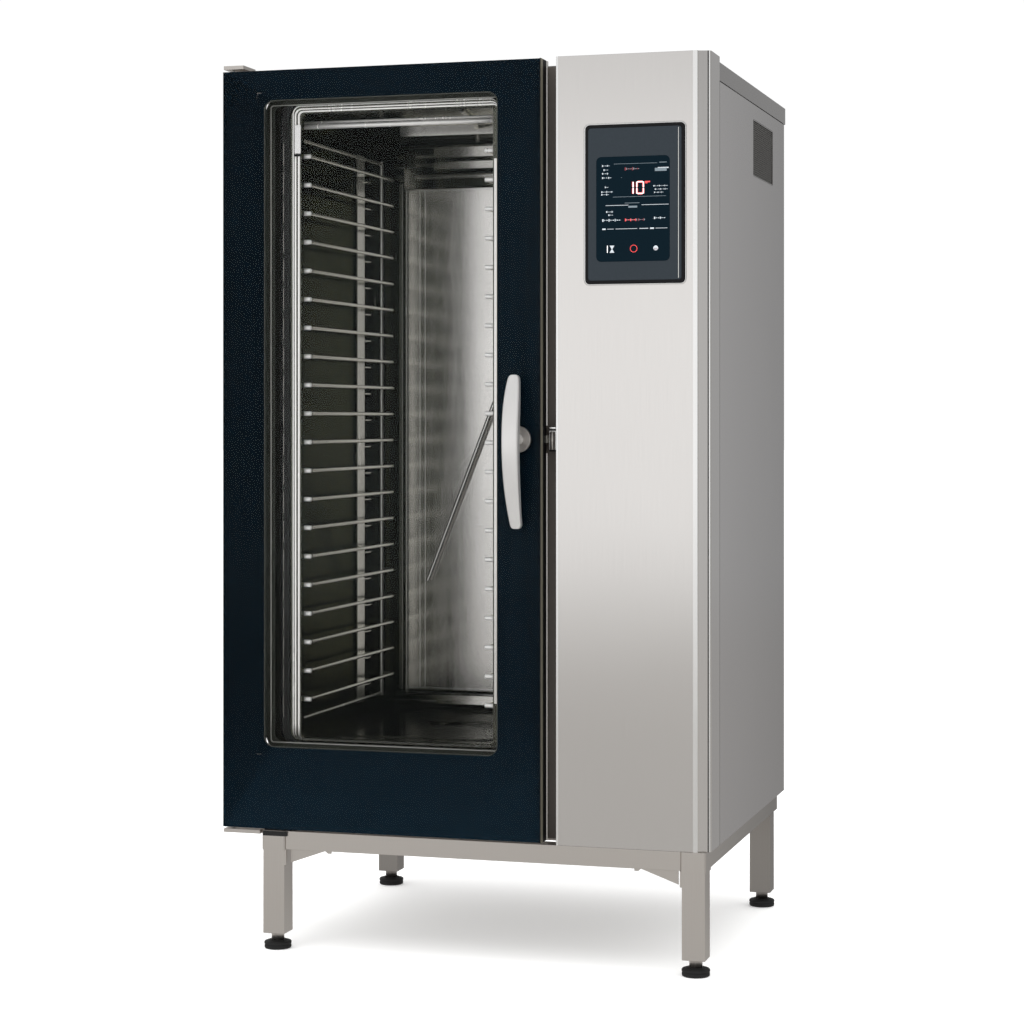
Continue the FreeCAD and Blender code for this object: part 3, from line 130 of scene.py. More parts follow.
def painted_light_gradient(tree, colour, axis, start, end, factor):
    """Paints light or shade into a colour: multiplies it by a number between 1 and the factor that changes along
    an axis, in metres.
    """
    place = tree.nodes.new("ShaderNodeTexCoord")
    split = tree.nodes.new("ShaderNodeSeparateXYZ")
    tree.links.new(place.outputs["Object"], split.inputs["Vector"])
    first, last = (factor, 1.0) if factor > 1 else (1.0, factor)
    amount = spread(tree, split.outputs[axis], first, last, start, end)
    product = tree.nodes.new("ShaderNodeVectorMath")
    product.operation = "SCALE"
    tree.links.new(colour, product.inputs[0])
    tree.links.new(amount, product.inputs["Scale"])
    return product.outputs["Vector"]


def brushed(name, colour, rough, grain="z", contrast=0.02, depth=0.03, fade=None):
    """Brushed stainless steel with its grain along one axis; fade paints shade on it, darkening it towards one
    end.
    """
    tree, surface = shader(name, Metallic=1.0)
    along = 0.006
    stretch = tuple(along if axis == grain else 1.0 for axis in "xyz")
    fine = noise(tree, 1500.0, 2.0, 0.6, stretch)
    broad = noise(tree, 3.0, 2.0, 0.5)
    colours = tint(tree, fine, scaled(colour, 1 - contrast), scaled(colour, 1 + contrast))
    if fade:
        colours = painted_light_gradient(tree, colours, *fade)
    tree.links.new(colours, surface.inputs["Base Color"])
    tree.links.new(spread(tree, broad, rough * 0.92, rough * 1.08), surface.inputs["Roughness"])
    bump(tree, surface, fine, depth, 0.0002)


def polished(name, colour, rough, smear=0.15, rim=1.0, metal=1.0, fade=None):
    """Polished steel with faint wiping streaks; a rim below 1 darkens its grazing reflections; fade paints light
    or shade along an axis.
    """
    tree, surface = shader(name, Metallic=metal, Specular_Tint=(rim, rim, rim * 0.94))
    streak = noise(tree, 60.0, 4.0, 0.6, (1, 1, 0.08))
    colours = tint(tree, streak, scaled(colour, 0.97), scaled(colour, 1.02))
    if fade:
        colours = painted_light_gradient(tree, colours, *fade)
    tree.links.new(colours, surface.inputs["Base Color"])
    tree.links.new(spread(tree, streak, rough * (1 - smear), rough * (1 + smear)), surface.inputs["Roughness"])
    bump(tree, surface, noise(tree, 5.0, 2.0), 0.08, 0.002)


def moulded(name, colour, rough, grain=900.0, depth=0.15, level=0.5, fade=None):
    """Moulded plastic, rubber or enamel with a fine surface texture; fade paints light or shade along an axis."""
    tree, surface = shader(name, Specular_IOR_Level=level)
    fine = noise(tree, grain, 3.0)
    colours = tint(tree, fine, scaled(colour, 0.85), scaled(colour, 1.15))
    if fade:
        colours = painted_light_gradient(tree, colours, *fade)
    tree.links.new(colours, surface.inputs["Base Color"])
    tree.links.new(spread(tree, fine, rough * 0.9, min(1.0, rough * 1.1)), surface.inputs["Roughness"])
    bump(tree, surface, fine, depth, 0.0003)


def glass(name, colour, alpha, rough):
    """A clear pane: a thin coating of reflection over a see-through body."""
    tree, surface = shader(name, Metallic=1.0, Alpha=alpha)
    marks = noise(tree, 8.0, 3.0)
    tree.links.new(tint(tree, marks, scaled(colour, 0.95), scaled(colour, 1.05)), surface.inputs["Base Color"])
    tree.links.new(spread(tree, marks, rough * 0.8, rough * 1.2), surface.inputs["Roughness"])


def lit(name, colour, strength):
    """A glowing mark on the display."""
    tree, surface = shader(name, Emission_Color=colour, Emission_Strength=strength, Roughness=0.4)
    fine = noise(tree, 2500.0, 1.0)
    tree.links.new(tint(tree, fine, scaled(colour, 0.7), colour), surface.inputs["Base Color"])


brushed("brushed_outer", (0.775, 0.752, 0.732), 0.14)
# side_steel: painted shade, its colour darkens along Y to two thirds towards the rear of the side panels.
brushed("side_steel", (0.71, 0.688, 0.680), 0.20, fade=("Y", -0.30, 0.46, 0.66))
# stand_steel: painted shade, its colour darkens along Y to six tenths towards the rear legs.
brushed("stand_steel", (0.70, 0.66, 0.62), 0.34, fade=("Y", -0.40, 0.35, 0.60))
brushed("lid_steel", (0.42, 0.404, 0.396), 0.22, "y")
polished("polished_inner", (0.110, 0.112, 0.092), 0.12, rim=0.30)
polished("bright_panel", (0.90, 0.88, 0.855), 0.19)
polished("ceiling_steel", (0.62, 0.61, 0.57), 0.14)
polished("collar_steel", (0.34, 0.335, 0.31), 0.16)
polished("bright_wire", (0.84, 0.83, 0.79), 0.17)
polished("rack_steel", (0.86, 0.85, 0.81), 0.24)
polished("chrome_hardware", (0.74, 0.73, 0.72), 0.33, metal=0.72)
polished("rail_tip", (0.95, 0.945, 0.93), 0.30, metal=0.55)
polished("bright_edge", (0.98, 0.975, 0.965), 0.22)
brushed("dull_hub", (0.66, 0.63, 0.60), 0.35)
# navy_enamel: painted light, its colour brightens up to 1.9 times towards the bottom edge of the door.
moulded("navy_enamel", (0.0013, 0.0046, 0.0080), 0.35, depth=0.0, level=0.03, fade=("Z", 0.24, 0.52, 1.9))
moulded("seal_grey", (0.30, 0.30, 0.28), 0.3, level=0.3)
moulded("pane_black", (0.026, 0.028, 0.023), 0.3, level=0.3)
polished("hood_steel", (0.56, 0.55, 0.52), 0.14)
# roll_steel: painted shade, below about 0.45 m up its colour drops to a tenth, darkening the lowest run of the
# collar beads.
polished("roll_steel", (0.95, 0.94, 0.92), 0.25, metal=0.6, fade=("Z", 0.475, 0.448, 0.10))
moulded("edge_olive", (0.13, 0.12, 0.09), 0.4, level=0.3)
# Painted shade: a dark sheet standing in for the shaded front frame in the gap beside the door.
moulded("gap_painted_shade", (0.105, 0.092, 0.082), 0.5, level=0.2)
glass("clear_glass", (0.15, 0.17, 0.17), 0.02, 0.04)
moulded("screen_glass", (0.0030, 0.0088, 0.0138), 0.12, depth=0.0, level=0.02)
moulded("bezel_grey", (0.023, 0.030, 0.037), 0.42, level=0.16)
moulded("black_rubber", (0.012, 0.012, 0.012), 0.6, level=0.3)
moulded("black_plastic", (0.006, 0.006, 0.007), 0.5, level=0.15)
moulded("mesh_grey", (0.058, 0.056, 0.052), 0.5, level=0.3)
moulded("board_green", (0.03, 0.16, 0.08), 0.45)
moulded("wool", (0.60, 0.52, 0.34), 0.9, grain=260.0, depth=0.6)
moulded("motor_paint", (0.05, 0.05, 0.055), 0.4)
moulded("lamp_white", (0.85, 0.84, 0.78), 0.35)
brushed("brass_valve", (0.72, 0.53, 0.25), 0.3)
lit("mark_white", (0.40, 0.43, 0.46), 0.75)
lit("mark_bright", (0.80, 0.80, 0.80), 0.85)
lit("mark_grey", (0.12, 0.15, 0.17), 0.8)
lit("mark_red", (0.70, 0.05, 0.05), 0.75)
lit("mark_dim", (0.13, 0.015, 0.02), 0.8)
SLOT_OF = {part["node"]: part["material_slot"] for part in frame["record"]["subparts"]}
FINISH_OF = {
    "top_lid": "lid_steel", "rear_air_panel": "bright_panel", "cavity_collar": "collar_steel",
    "right_side_panel": "side_steel", "left_side_panel": "side_steel", "rack_left_frame": "rack_steel",
    "rack_right_frame": "rack_steel", "handle_rose": "dull_hub", "latch_bolt": "collar_steel",
    "steam_lance": "bright_edge", "spray_pipe": "bright_edge", "drain_strainer": "polished_inner",
}

PLAIN_NODES = ("door_outer_glass", "door_inner_glass", "insulation")
LARGE_SHEETS = ("cavity_liner", "rear_air_panel", "fan_baffle")
THIN_NODE = 0.004
EDGE_WIDTH, THIN_EDGE_WIDTH, SHEET_EDGE_WIDTH = 0.0009, 0.0003, 0.0004

for node_name, node in nodes.items():
    node.data.materials.clear()
    node.data.materials.append(MATERIALS[FINISH_OF.get(node_name, SLOT_OF[node_name])])
    if node_name in PLAIN_NODES:
        continue
    weld = node.modifiers.new("weld", "WELD")
    weld.merge_threshold = 0.00001
    edge = node.modifiers.new("edge", "BEVEL")
    edge.limit_method = "ANGLE"
    edge.angle_limit = math.radians(40)
    thin = min(high(node_name) - low(node_name)) < THIN_NODE
    edge.width = THIN_EDGE_WIDTH if thin else EDGE_WIDTH
    edge.segments = 2
    normals = node.modifiers.new("normals", "WEIGHTED_NORMAL")
    normals.keep_sharp = True
for node_name in LARGE_SHEETS:
    nodes[node_name].modifiers["edge"].width = SHEET_EDGE_WIDTH


# ---------------------------- building pieces

def finish_piece(name, builder, finish, body, smooth=True, bevel=0.0):
    """Turns a bmesh into a piece that rides on its body and takes the finish it is given."""
    bmesh.ops.remove_doubles(builder, verts=builder.verts, dist=0.000001)
    bmesh.ops.recalc_face_normals(builder, faces=builder.faces)
    mesh = bpy.data.meshes.new(name)
    builder.to_mesh(mesh)
    builder.free()
    piece = bpy.data.objects.new(name, mesh)
    bpy.context.scene.collection.objects.link(piece)
    for face in mesh.polygons:
        face.use_smooth = smooth
    mesh.materials.append(MATERIALS[finish])
    if bevel:
        edge = piece.modifiers.new("edge", "BEVEL")
        edge.limit_method = "ANGLE"
        edge.angle_limit = math.radians(35)
        edge.width = bevel
        edge.segments = 3
        piece.modifiers.new("normals", "WEIGHTED_NORMAL").keep_sharp = True
    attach(piece, body)
    return piece


def moved(point, x=0.0, y=0.0, z=0.0):
    """A point moved by some millimetres."""
    return tuple(value + shift * MM for value, shift in zip(point, (x, y, z)))


def corner(node, ends, x=0.0, y=0.0, z=0.0):
    """A corner of a node's box, L or H for each axis, moved by some millimetres."""
    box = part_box(node)
    return moved([box[end == "H"][axis] for axis, end in enumerate(ends)], x, y, z)


def bar(builder, first, second):
    """A block between two opposite corners."""
    size = [abs(b - a) for a, b in zip(first, second)]
    centre = (Vector(first) + Vector(second)) / 2
    bmesh.ops.create_cube(builder, size=1.0, matrix=Matrix.LocRotScale(centre, None, Vector(size)))


def blocks(name, finish, body, pairs, bevel=0.0):
    """A piece of blocks between pairs of opposite corners, shaded smooth where it is bevelled."""
    builder = bmesh.new()
    for first, second in pairs:
        bar(builder, first, second)
    return finish_piece(name, builder, finish, body, smooth=bevel > 0, bevel=bevel)


def placed(u, v, reach, axis):
    """A point of an outline drawn across an axis."""
    return {"x": (reach, u, v), "y": (u, reach, v), "z": (u, v, reach)}[axis]


def rounded_outline(left, bottom, right, top, radius, steps=6):
    corners = ((right - radius, top - radius, 0), (left + radius, top - radius, 90),
               (left + radius, bottom + radius, 180), (right - radius, bottom + radius, 270))
    points = []
    for u, v, start in corners:
        for step in range(steps + 1):
            angle = math.radians(start + 90 * step / steps)
            points.append((u + radius * math.cos(angle), v + radius * math.sin(angle)))
    return points


def inset_outline(sides, inset, radius):
    """A rounded outline inside (left, bottom, right, top), by one distance in millimetres or four."""
    left, bottom, right, top = (inset,) * 4 if isinstance(inset, (int, float)) else inset
    return rounded_outline(sides[0] + left * MM, sides[1] + bottom * MM, sides[2] - right * MM,
                           sides[3] - top * MM, radius * MM)


def join(builder, rings, closed=False):
    pairs = list(zip(rings, rings[1:]))
    if closed:
        pairs.append((rings[-1], rings[0]))
    for first, second in pairs:
        for number in range(len(first)):
            after = (number + 1) % len(first)
            builder.faces.new((first[number], first[after], second[after], second[number]))


def ring_of(builder, outline, axis, reach):
    return [builder.verts.new(placed(u, v, reach, axis)) for u, v in outline]


def extrude(builder, outline, axis, start, end):
    rings = [ring_of(builder, outline, axis, reach) for reach in (start, end)]
    join(builder, rings)
    builder.faces.new(rings[0])
    builder.faces.new(rings[1])


def band(builder, outer, inner, axis, start, end):
    """A frame between two outlines with the same number of points."""
    join(builder, [ring_of(builder, outer, axis, start), ring_of(builder, outer, axis, end),
                   ring_of(builder, inner, axis, end), ring_of(builder, inner, axis, start)], closed=True)


def hoops(name, finish, body, frames, bevel=0.0):
    """A piece of upright frames, each (outer, inner, start, end), smooth where it is bevelled."""
    builder = bmesh.new()
    for outer, inner, start, end in frames:
        band(builder, outer, inner, "y", start, end)
    return finish_piece(name, builder, finish, body, smooth=bevel > 0, bevel=bevel)


def lathe(builder, centre, profile, axis="z", sides=48):
    """A turned solid; the profile lists (radius, distance along the axis) in millimetres."""
    rings = []
    for radius, reach in profile:
        ring = []
        for number in range(sides):
            angle = 2 * math.pi * number / sides
            offset = placed(radius * math.cos(angle), radius * math.sin(angle), reach, axis)
            ring.append(builder.verts.new(Vector(centre) + Vector(offset) * MM))
        rings.append(ring)
    join(builder, rings)
    builder.faces.new(rings[0])
    builder.faces.new(rings[-1])


# ---------------------------- feet

STEM_THREADS = 12
THREAD_PITCH = 3.3


def build_feet():
    """Each foot: a steel stem with a collar and a thread, and a black pad with a grooved rim."""
    for place in ("front_left", "front_right", "rear_left", "rear_right"):
        node, body = f"foot_{place}", f"foot_{place}_body"
        x, y, _ = middle(node)
        centre = (x, y, low(node)[2])
        stem = bmesh.new()
        lathe(stem, centre, ((10, 11), (13.5, 11.5), (13.5, 50), (12.5, 52), (8, 52.5), (8, 96)))
        for turn in range(STEM_THREADS):
            height = 55 + THREAD_PITCH * turn
            lathe(stem, centre, ((7.9, height), (8.6, height + 0.8), (8.6, height + 1.4), (7.9, height + 2.2)),
                  sides=24)
        stem_piece = finish_piece("stem_" + place, stem, "stand_steel", body)
        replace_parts(stem_piece, node)
        pad = bmesh.new()
        lathe(pad, centre, ((24, 0), (27.5, 0.6), (28.6, 2.0), (28.6, 6.5), (27.3, 7.6), (27.3, 8.6),
                            (28.9, 9.8), (28.9, 13.2), (27.6, 14.6), (22.5, 16.0), (19.5, 16.2), (18.6, 17.6),
                            (16.0, 18.0), (13.6, 17.6)), sides=64)
        finish_piece("pad_" + place, pad, "black_rubber", body)


# ---------------------------- door handle

GRIP_STOPS = 64
GRIP_WIDEST = 0.25
GRIP_END = 9.0


def build_handle():
    """Bowed lever, widest above its middle, with chamfered edges and rounded ends, on a round neck."""
    lowest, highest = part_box("door_handle")
    middle_x, _, middle_z = middle("door_handle")
    half = (highest[2] - lowest[2]) / 2
    front = lowest[1] + 0.5 * MM
    grip = bmesh.new()
    rings = []
    for number in range(GRIP_STOPS + 1):
        place = -1 + 2 * number / GRIP_STOPS
        place = math.copysign(1 - (1 - abs(place)) ** 1.35, place)
        if place < GRIP_WIDEST:
            wide = 11.0 + 6.0 * (1 - abs((place - GRIP_WIDEST) / (1 + GRIP_WIDEST)) ** 2.2)
        else:
            wide = 10.5 + 6.5 * (1 - ((place - GRIP_WIDEST) / (1 - GRIP_WIDEST)) ** 3.0)
        thick = 7.5 + 3.5 * (1 - place * place)
        from_end = (1 - abs(place)) * half / MM
        if from_end < GRIP_END:
            close = math.sqrt(max(0.0, 1 - (1 - from_end / GRIP_END) ** 2))
            wide *= 0.45 + 0.55 * close
            thick *= 0.35 + 0.65 * close
        bow = 8.0 * -place + 39.2 * place * place
        centre_y = front + (bow + thick) * MM
        cut = 0.22 * thick
        section = ((-wide + cut, -thick), (wide - cut, -thick), (wide, -thick + cut), (wide, thick - cut),
                   (wide - cut, thick), (-wide + cut, thick), (-wide, thick - cut), (-wide, -thick + cut))
        rings.append([grip.verts.new((middle_x + across * MM, centre_y + back * MM, middle_z + place * half))
                      for across, back in section])
    join(grip, rings)
    grip.faces.new(rings[0])
    grip.faces.new(rings[-1])
    hub_x, _, hub_z = middle("handle_rose")
    lathe(grip, (hub_x, low("handle_rose")[1], hub_z),
          ((12, -50), (11, -30), (11, -6), (12, -1.2), (12, -0.4), (7, -0.3), (7, 47)), "y")
    piece = finish_piece("handle_grip", grip, "chrome_hardware", "handle", bevel=0.0007)
    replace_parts(piece, "door_handle")


# ---------------------------- control panel

def build_panel():
    """Black-rimmed grey bezel with a rounded recess, a bright surround and a bright strip on its right that paint
    its edge highlights, and the dark screen.
    """
    lowest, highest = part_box("control_bezel")
    screen_low, screen_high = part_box("touch_glass")
    sides = (lowest[0], lowest[2], highest[0], highest[2])
    outside, rim_inside = inset_outline(sides, 0.0, 8.0), inset_outline(sides, 5.6, 6.0)
    recess = rounded_outline(screen_low[0], screen_low[2], screen_high[0], screen_high[2], 10 * MM)
    front, back = lowest[1], highest[1]
    # A flat bright ring paints the highlight round the bezel's edge.
    surround = bmesh.new()
    band(surround, inset_outline(sides, -4.0, 12.0), outside, "y", back - 1.4 * MM, back)
    finish_piece("panel_surround_highlight", surround, "bright_edge", "cabinet")
    rim = hoops("panel_rim", "black_plastic", "cabinet", [(outside, rim_inside, front, back)], bevel=0.0008)
    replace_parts(rim, "control_bezel")
    hoops("panel_face", "bezel_grey", "cabinet", [(rim_inside, recess, front + 0.7 * MM, back)], bevel=0.0005)
    blocks("panel_highlight", "bright_wire", "cabinet",
           [(corner("control_bezel", "HLL", -12.4, 0.3, 9), corner("control_bezel", "HLH", -11.2, 0.8, -9))])
    pane = bmesh.new()
    extrude(pane, recess, "y", screen_low[1], screen_high[1])
    pane_piece = finish_piece("screen_pane", pane, "screen_glass", "cabinet", bevel=0.0004)
    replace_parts(pane_piece, "touch_glass")


def build_display():
    """Generic marks on the screen: ticks, rules, the digits 10, a bar and hourglass, a ring and a dot.

    Places are fractions of the screen's width and height from its top left corner.
    """
    lowest, highest = low("touch_glass"), high("touch_glass")
    wide, tall = highest[0] - lowest[0], highest[2] - lowest[2]
    front = lowest[1]
    finishes = ("mark_bright", "mark_white", "mark_grey", "mark_red", "mark_dim")
    sheets = {name: bmesh.new() for name in finishes}

    def at(u, v, lift=0.10):
        return (lowest[0] + u * wide, front - lift * MM, highest[2] - v * tall)

    def mark(finish, left, top, right, bottom, lift=0.10):
        bar(sheets[finish], at(left, top, 0.0), at(right, bottom, lift))

    def ticks(finish, left, right, v, height, gaps):
        """A row of short upright ticks with uneven spacing."""
        step = (right - left) / gaps
        for number in range(gaps):
            start = left + number * step
            rise = height * (0.45 + 0.35 * math.cos(2.1 * number))
            wide_part = step * (0.45 + 0.15 * math.cos(3.7 * number))
            mark(finish, start, v - rise / 2, start + wide_part, v + rise / 2)
            mark("mark_grey", start + wide_part, v - rise / 3, start + step * 0.9, v + rise / 4)

    def segments(finish, left, top, right, bottom, lit_bars, weight, lift):
        """One seven-segment digit."""
        half = (top + bottom) / 2
        across = weight * tall / wide
        bars = {
            "top": (left + across, top, right - across, top + weight),
            "bottom": (left + across, bottom - weight, right - across, bottom),
            "left_up": (left, top + weight * 0.5, left + across, half - weight * 0.3),
            "left_down": (left, half + weight * 0.3, left + across, bottom - weight * 0.5),
            "right_up": (right - across, top + weight * 0.5, right, half - weight * 0.3),
            "right_down": (right - across, half + weight * 0.3, right, bottom - weight * 0.5),
        }
        for name in lit_bars:
            mark(finish, *bars[name], lift)

    for left, right, v, gaps in ((0.08, 0.19, 0.085, 5), (0.10, 0.17, 0.125, 3), (0.08, 0.17, 0.16, 4),
                                 (0.08, 0.22, 0.20, 5), (0.12, 0.17, 0.29, 3), (0.07, 0.23, 0.335, 7),
                                 (0.07, 0.18, 0.36, 5), (0.136, 0.235, 0.526, 4), (0.167, 0.235, 0.557, 3)):
        ticks("mark_white", left, right, v, 0.019, gaps)
    ticks("mark_dim", 0.39, 0.59, 0.12, 0.036, 6)
    for left, right, v in ((0.24, 0.83, 0.07), (0.23, 0.95, 0.385), (0.34, 0.35, 0.20)):
        mark("mark_grey", left, v - 0.0015, right, v + 0.0015)
    mark("mark_grey", 0.86, 0.062, 0.96, 0.068)
    mark("mark_grey", 0.80, 0.118, 0.96, 0.148)
    mark("mark_white", 0.84, 0.112, 0.985, 0.122)
    for v, left in ((0.288, 0.78), (0.32, 0.80), (0.35, 0.79)):
        ticks("mark_white", left, 0.98 if v < 0.34 else 0.92, v, 0.016, 8)
    for finish, weight, lift in (("mark_red", 0.019, 0.06), ("mark_bright", 0.010, 0.12)):
        grow = (weight - 0.010) / 2
        segments(finish, 0.475 - grow, 0.240 - grow, 0.512 + grow, 0.362 + grow, ("right_up", "right_down"),
                 weight, lift)
        segments(finish, 0.548 - grow, 0.240 - grow, 0.652 + grow, 0.362 + grow,
                 ("top", "bottom", "left_up", "left_down", "right_up", "right_down"), weight, lift)
    mark("mark_red", 0.665, 0.240, 0.735, 0.252)
    mark("mark_red", 0.672, 0.252, 0.700, 0.262)
    mark("mark_grey", 0.39, 0.443, 0.59, 0.447)
    mark("mark_white", 0.13, 0.463, 0.44, 0.467)
    mark("mark_white", 0.62, 0.463, 0.985, 0.467)
    mark("mark_grey", 0.44, 0.472, 0.56, 0.490)
    ticks("mark_white", 0.083, 0.34, 0.606, 0.030, 9)
    ticks("mark_red", 0.394, 0.56, 0.606, 0.030, 7)
    ticks("mark_dim", 0.57, 0.667, 0.606, 0.028, 4)
    ticks("mark_white", 0.788, 0.947, 0.593, 0.026, 6)
    for left, right, weight in ((0.083, 0.129, 0.007), (0.735, 0.788, 0.007), (0.265, 0.56, 0.002),
                                (0.15, 0.24, 0.002), (0.59, 0.71, 0.003), (0.81, 0.97, 0.002)):
        mark("mark_white", left, 0.69 - weight, right, 0.69 + weight)
    mark("mark_bright", 0.148, 0.848, 0.158, 0.916)
    centre, reach, waist = 0.216, 0.032, 0.004
    for top, bottom in ((0.848, 0.882), (0.916, 0.882)):
        corners = ((centre - reach, top), (centre + reach, top), (centre + waist, bottom),
                   (centre - waist, bottom))
        outline = [(at(u, v)[0], at(u, v)[2]) for u, v in corners]
        extrude(sheets["mark_white"], outline, "y", front - 0.10 * MM, front)

    def round_mark(finish, u, v, outer, inner, sides=40):
        """A ring, or a dot where the inner radius is 0, in millimetres."""
        x, y, z = at(u, v)
        turns = [math.tau * number / sides for number in range(sides)]
        outlines = [[(x + radius * MM * math.cos(turn), z + radius * MM * math.sin(turn)) for turn in turns]
                    for radius in (outer, inner)]
        if inner:
            band(sheets[finish], *outlines, "y", y, front)
        else:
            extrude(sheets[finish], outlines[0], "y", y, front)

    round_mark("mark_red", 0.512, 0.880, 7.6, 6.5)
    round_mark("mark_white", 0.812, 0.878, 4.9, 0)
    for reach in (-2.4, 0.0, 2.4):
        bar(sheets["mark_dim"], moved(at(0.812, 0.886), reach - 0.5, 0, -2.0),
            moved(at(0.812, 0.886, 0.14), reach + 0.5, 0, 2.0))
    for finish, sheet in sheets.items():
        finish_piece("display_" + finish[5:], sheet, finish, "cabinet", smooth=False)


# ---------------------------- column, side vent and rear

def build_column_trim():
    """Bright strips down the column's edges that paint highlights, the right one on a real bead; dark seams; and a
    dark strip that paints the shade in the gap beside the door.
    """
    column = "control_column"
    lowest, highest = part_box(column)
    edge, front = highest[0] - 34 * MM, lowest[1]
    # The right strip is a bead whose bright colour also paints the highlight on the column's edge.
    bead = bmesh.new()
    extrude(bead, [(edge + x * MM, front + y * MM)
                   for x, y in ((-0.8, -0.9), (8.4, -0.9), (9.0, -0.2), (9.0, 6.0), (0.0, 3.0))],
            "z", lowest[2], highest[2])
    finish_piece("column_right_bead_highlight", bead, "bright_edge", "cabinet", smooth=False)
    # A flat bright strip paints the highlight on the column's folded left edge.
    blocks("column_left_edge_highlight", "bright_edge", "cabinet",
           [(corner(column, "LLL", 0, -0.5), corner(column, "LLH", 4.2, 1))])
    blocks("column_seams", "black_plastic", "cabinet",
           [(corner(column, "LLL", -0.6, 1.2), corner(column, "LLH", 0.4, 8)),
            (corner(column, "HLL", -0.6, 96.4), (highest[0], front + 98.6 * MM, low("top_lid")[2])),
            (corner(column, "HLL", -6.6, 9.0), corner(column, "HLH", -5.0, 11.0))])
    blocks("column_fold", "bright_edge", "cabinet",
           [(corner(column, "HLL", -4.6, 9.8), corner(column, "HLH", -1.4, 13))], bevel=0.0008)
    face = low("front_frame")[1]
    # A dark sheet in the gap beside the door paints the shade that falls on the front frame there.
    blocks("hinge_gap_strip", "gap_painted_shade", "cabinet",
           [((high("door_outer_glass")[0] - 4 * MM, face - 1.2 * MM, low("door_outer_glass")[2]),
             (lowest[0] - 0.8 * MM, face, high("front_frame")[2]))])


def build_vent():
    """Fine dark mesh in a narrow bright frame."""
    _, y0, z0 = corner("side_vent_grille", "LLL", 0, 8, 8)
    _, y1, z1 = corner("side_vent_grille", "HHH", 0, -8, -8)
    face = high("right_side_panel")[0]
    pitch, half_wire = 4.6 * MM, 0.9 * MM
    columns, rows = int((y1 - y0) / pitch), int((z1 - z0) / pitch)
    wires = []
    for number in range(columns + 1):
        y = y0 + number * (y1 - y0) / columns
        wires.append(((face - 3.4 * MM, y - half_wire, z0 - 2 * MM),
                      (face - 2.2 * MM, y + half_wire, z1 + 2 * MM)))
    for number in range(rows + 1):
        z = z0 + number * (z1 - z0) / rows
        wires.append(((face - 3.0 * MM, y0 - 2 * MM, z - half_wire),
                      (face - 1.9 * MM, y1 + 2 * MM, z + half_wire)))
    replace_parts(blocks("vent_mesh", "mesh_grey", "cabinet", wires), "side_vent_grille")
    blocks("vent_filter", "mesh_grey", "cabinet",
           [((face - 5.0 * MM, y0 - 4 * MM, z0 - 4 * MM), (face - 4.2 * MM, y1 + 4 * MM, z1 + 4 * MM))])
    ring = bmesh.new()
    sides = (y0, z0, y1, z1)
    band(ring, inset_outline(sides, -1, 3), inset_outline(sides, 2, 2), "x", face - 4.0 * MM, face)
    finish_piece("vent_frame", ring, "lid_steel", "cabinet", bevel=0.0004)


def build_lid_trim():
    """Flange round the flue where it leaves the lid."""
    x, y, _ = middle("flue")
    flange = bmesh.new()
    lathe(flange, (x, y, high("top_lid")[2]),
          ((25.2, 0), (44, 0.0), (44, 1.6), (30, 2.0), (27.5, 4.0), (25.4, 8.0)))
    finish_piece("flue_flange", flange, "lid_steel", "cabinet")


def build_rear():
    """Pressed louvres, panel seams and service collars on the back."""
    lowest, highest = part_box("rear_panel")
    wide, tall = highest[0] - lowest[0], highest[2] - lowest[2]
    back = highest[1]
    louvres = bmesh.new()
    for column in (0.30, 0.62):
        for row in range(9):
            x = lowest[0] + column * wide
            z = lowest[2] + (0.70 + 0.018 * row) * tall
            outline = [(back, z), (back + 4.5 * MM, z), (back + 4.5 * MM, z + 1.0 * MM), (back, z + 14 * MM)]
            extrude(louvres, outline, "x", x - 62 * MM, x + 62 * MM)
    finish_piece("rear_louvres", louvres, "lid_steel", "cabinet", smooth=False, bevel=0.0005)
    for name, node, height, radius, finish in (
            ("drain_collar", "drain_pipe", 41, 40, "stand_steel"),
            ("inlet_collar", "water_valve", 25, 24, "brass_valve")):
        plate = bmesh.new()
        lathe(plate, (middle(node)[0], back, low(node)[2] + height * MM),
              ((radius * 0.66, 0), (radius, 0), (radius, 1.6), (radius * 0.70, 2.4), (radius * 0.66, 4.0)), "y")
        finish_piece(name, plate, finish, "cabinet")
    seams = [((side, back - 0.2 * MM, lowest[2] + 20 * MM), (side + 2 * MM, back + 0.3 * MM, highest[2] - 20 * MM))
             for side in (lowest[0] + 32 * MM, highest[0] - 34 * MM)]
    for height in (0.34, 0.66):
        z = lowest[2] + height * tall
        seams.append(((lowest[0] + 34 * MM, back - 0.2 * MM, z),
                      (highest[0] - 34 * MM, back + 0.3 * MM, z + 2 * MM)))
    blocks("rear_seams", "black_plastic", "cabinet", seams)


# ---------------------------- door and stand details

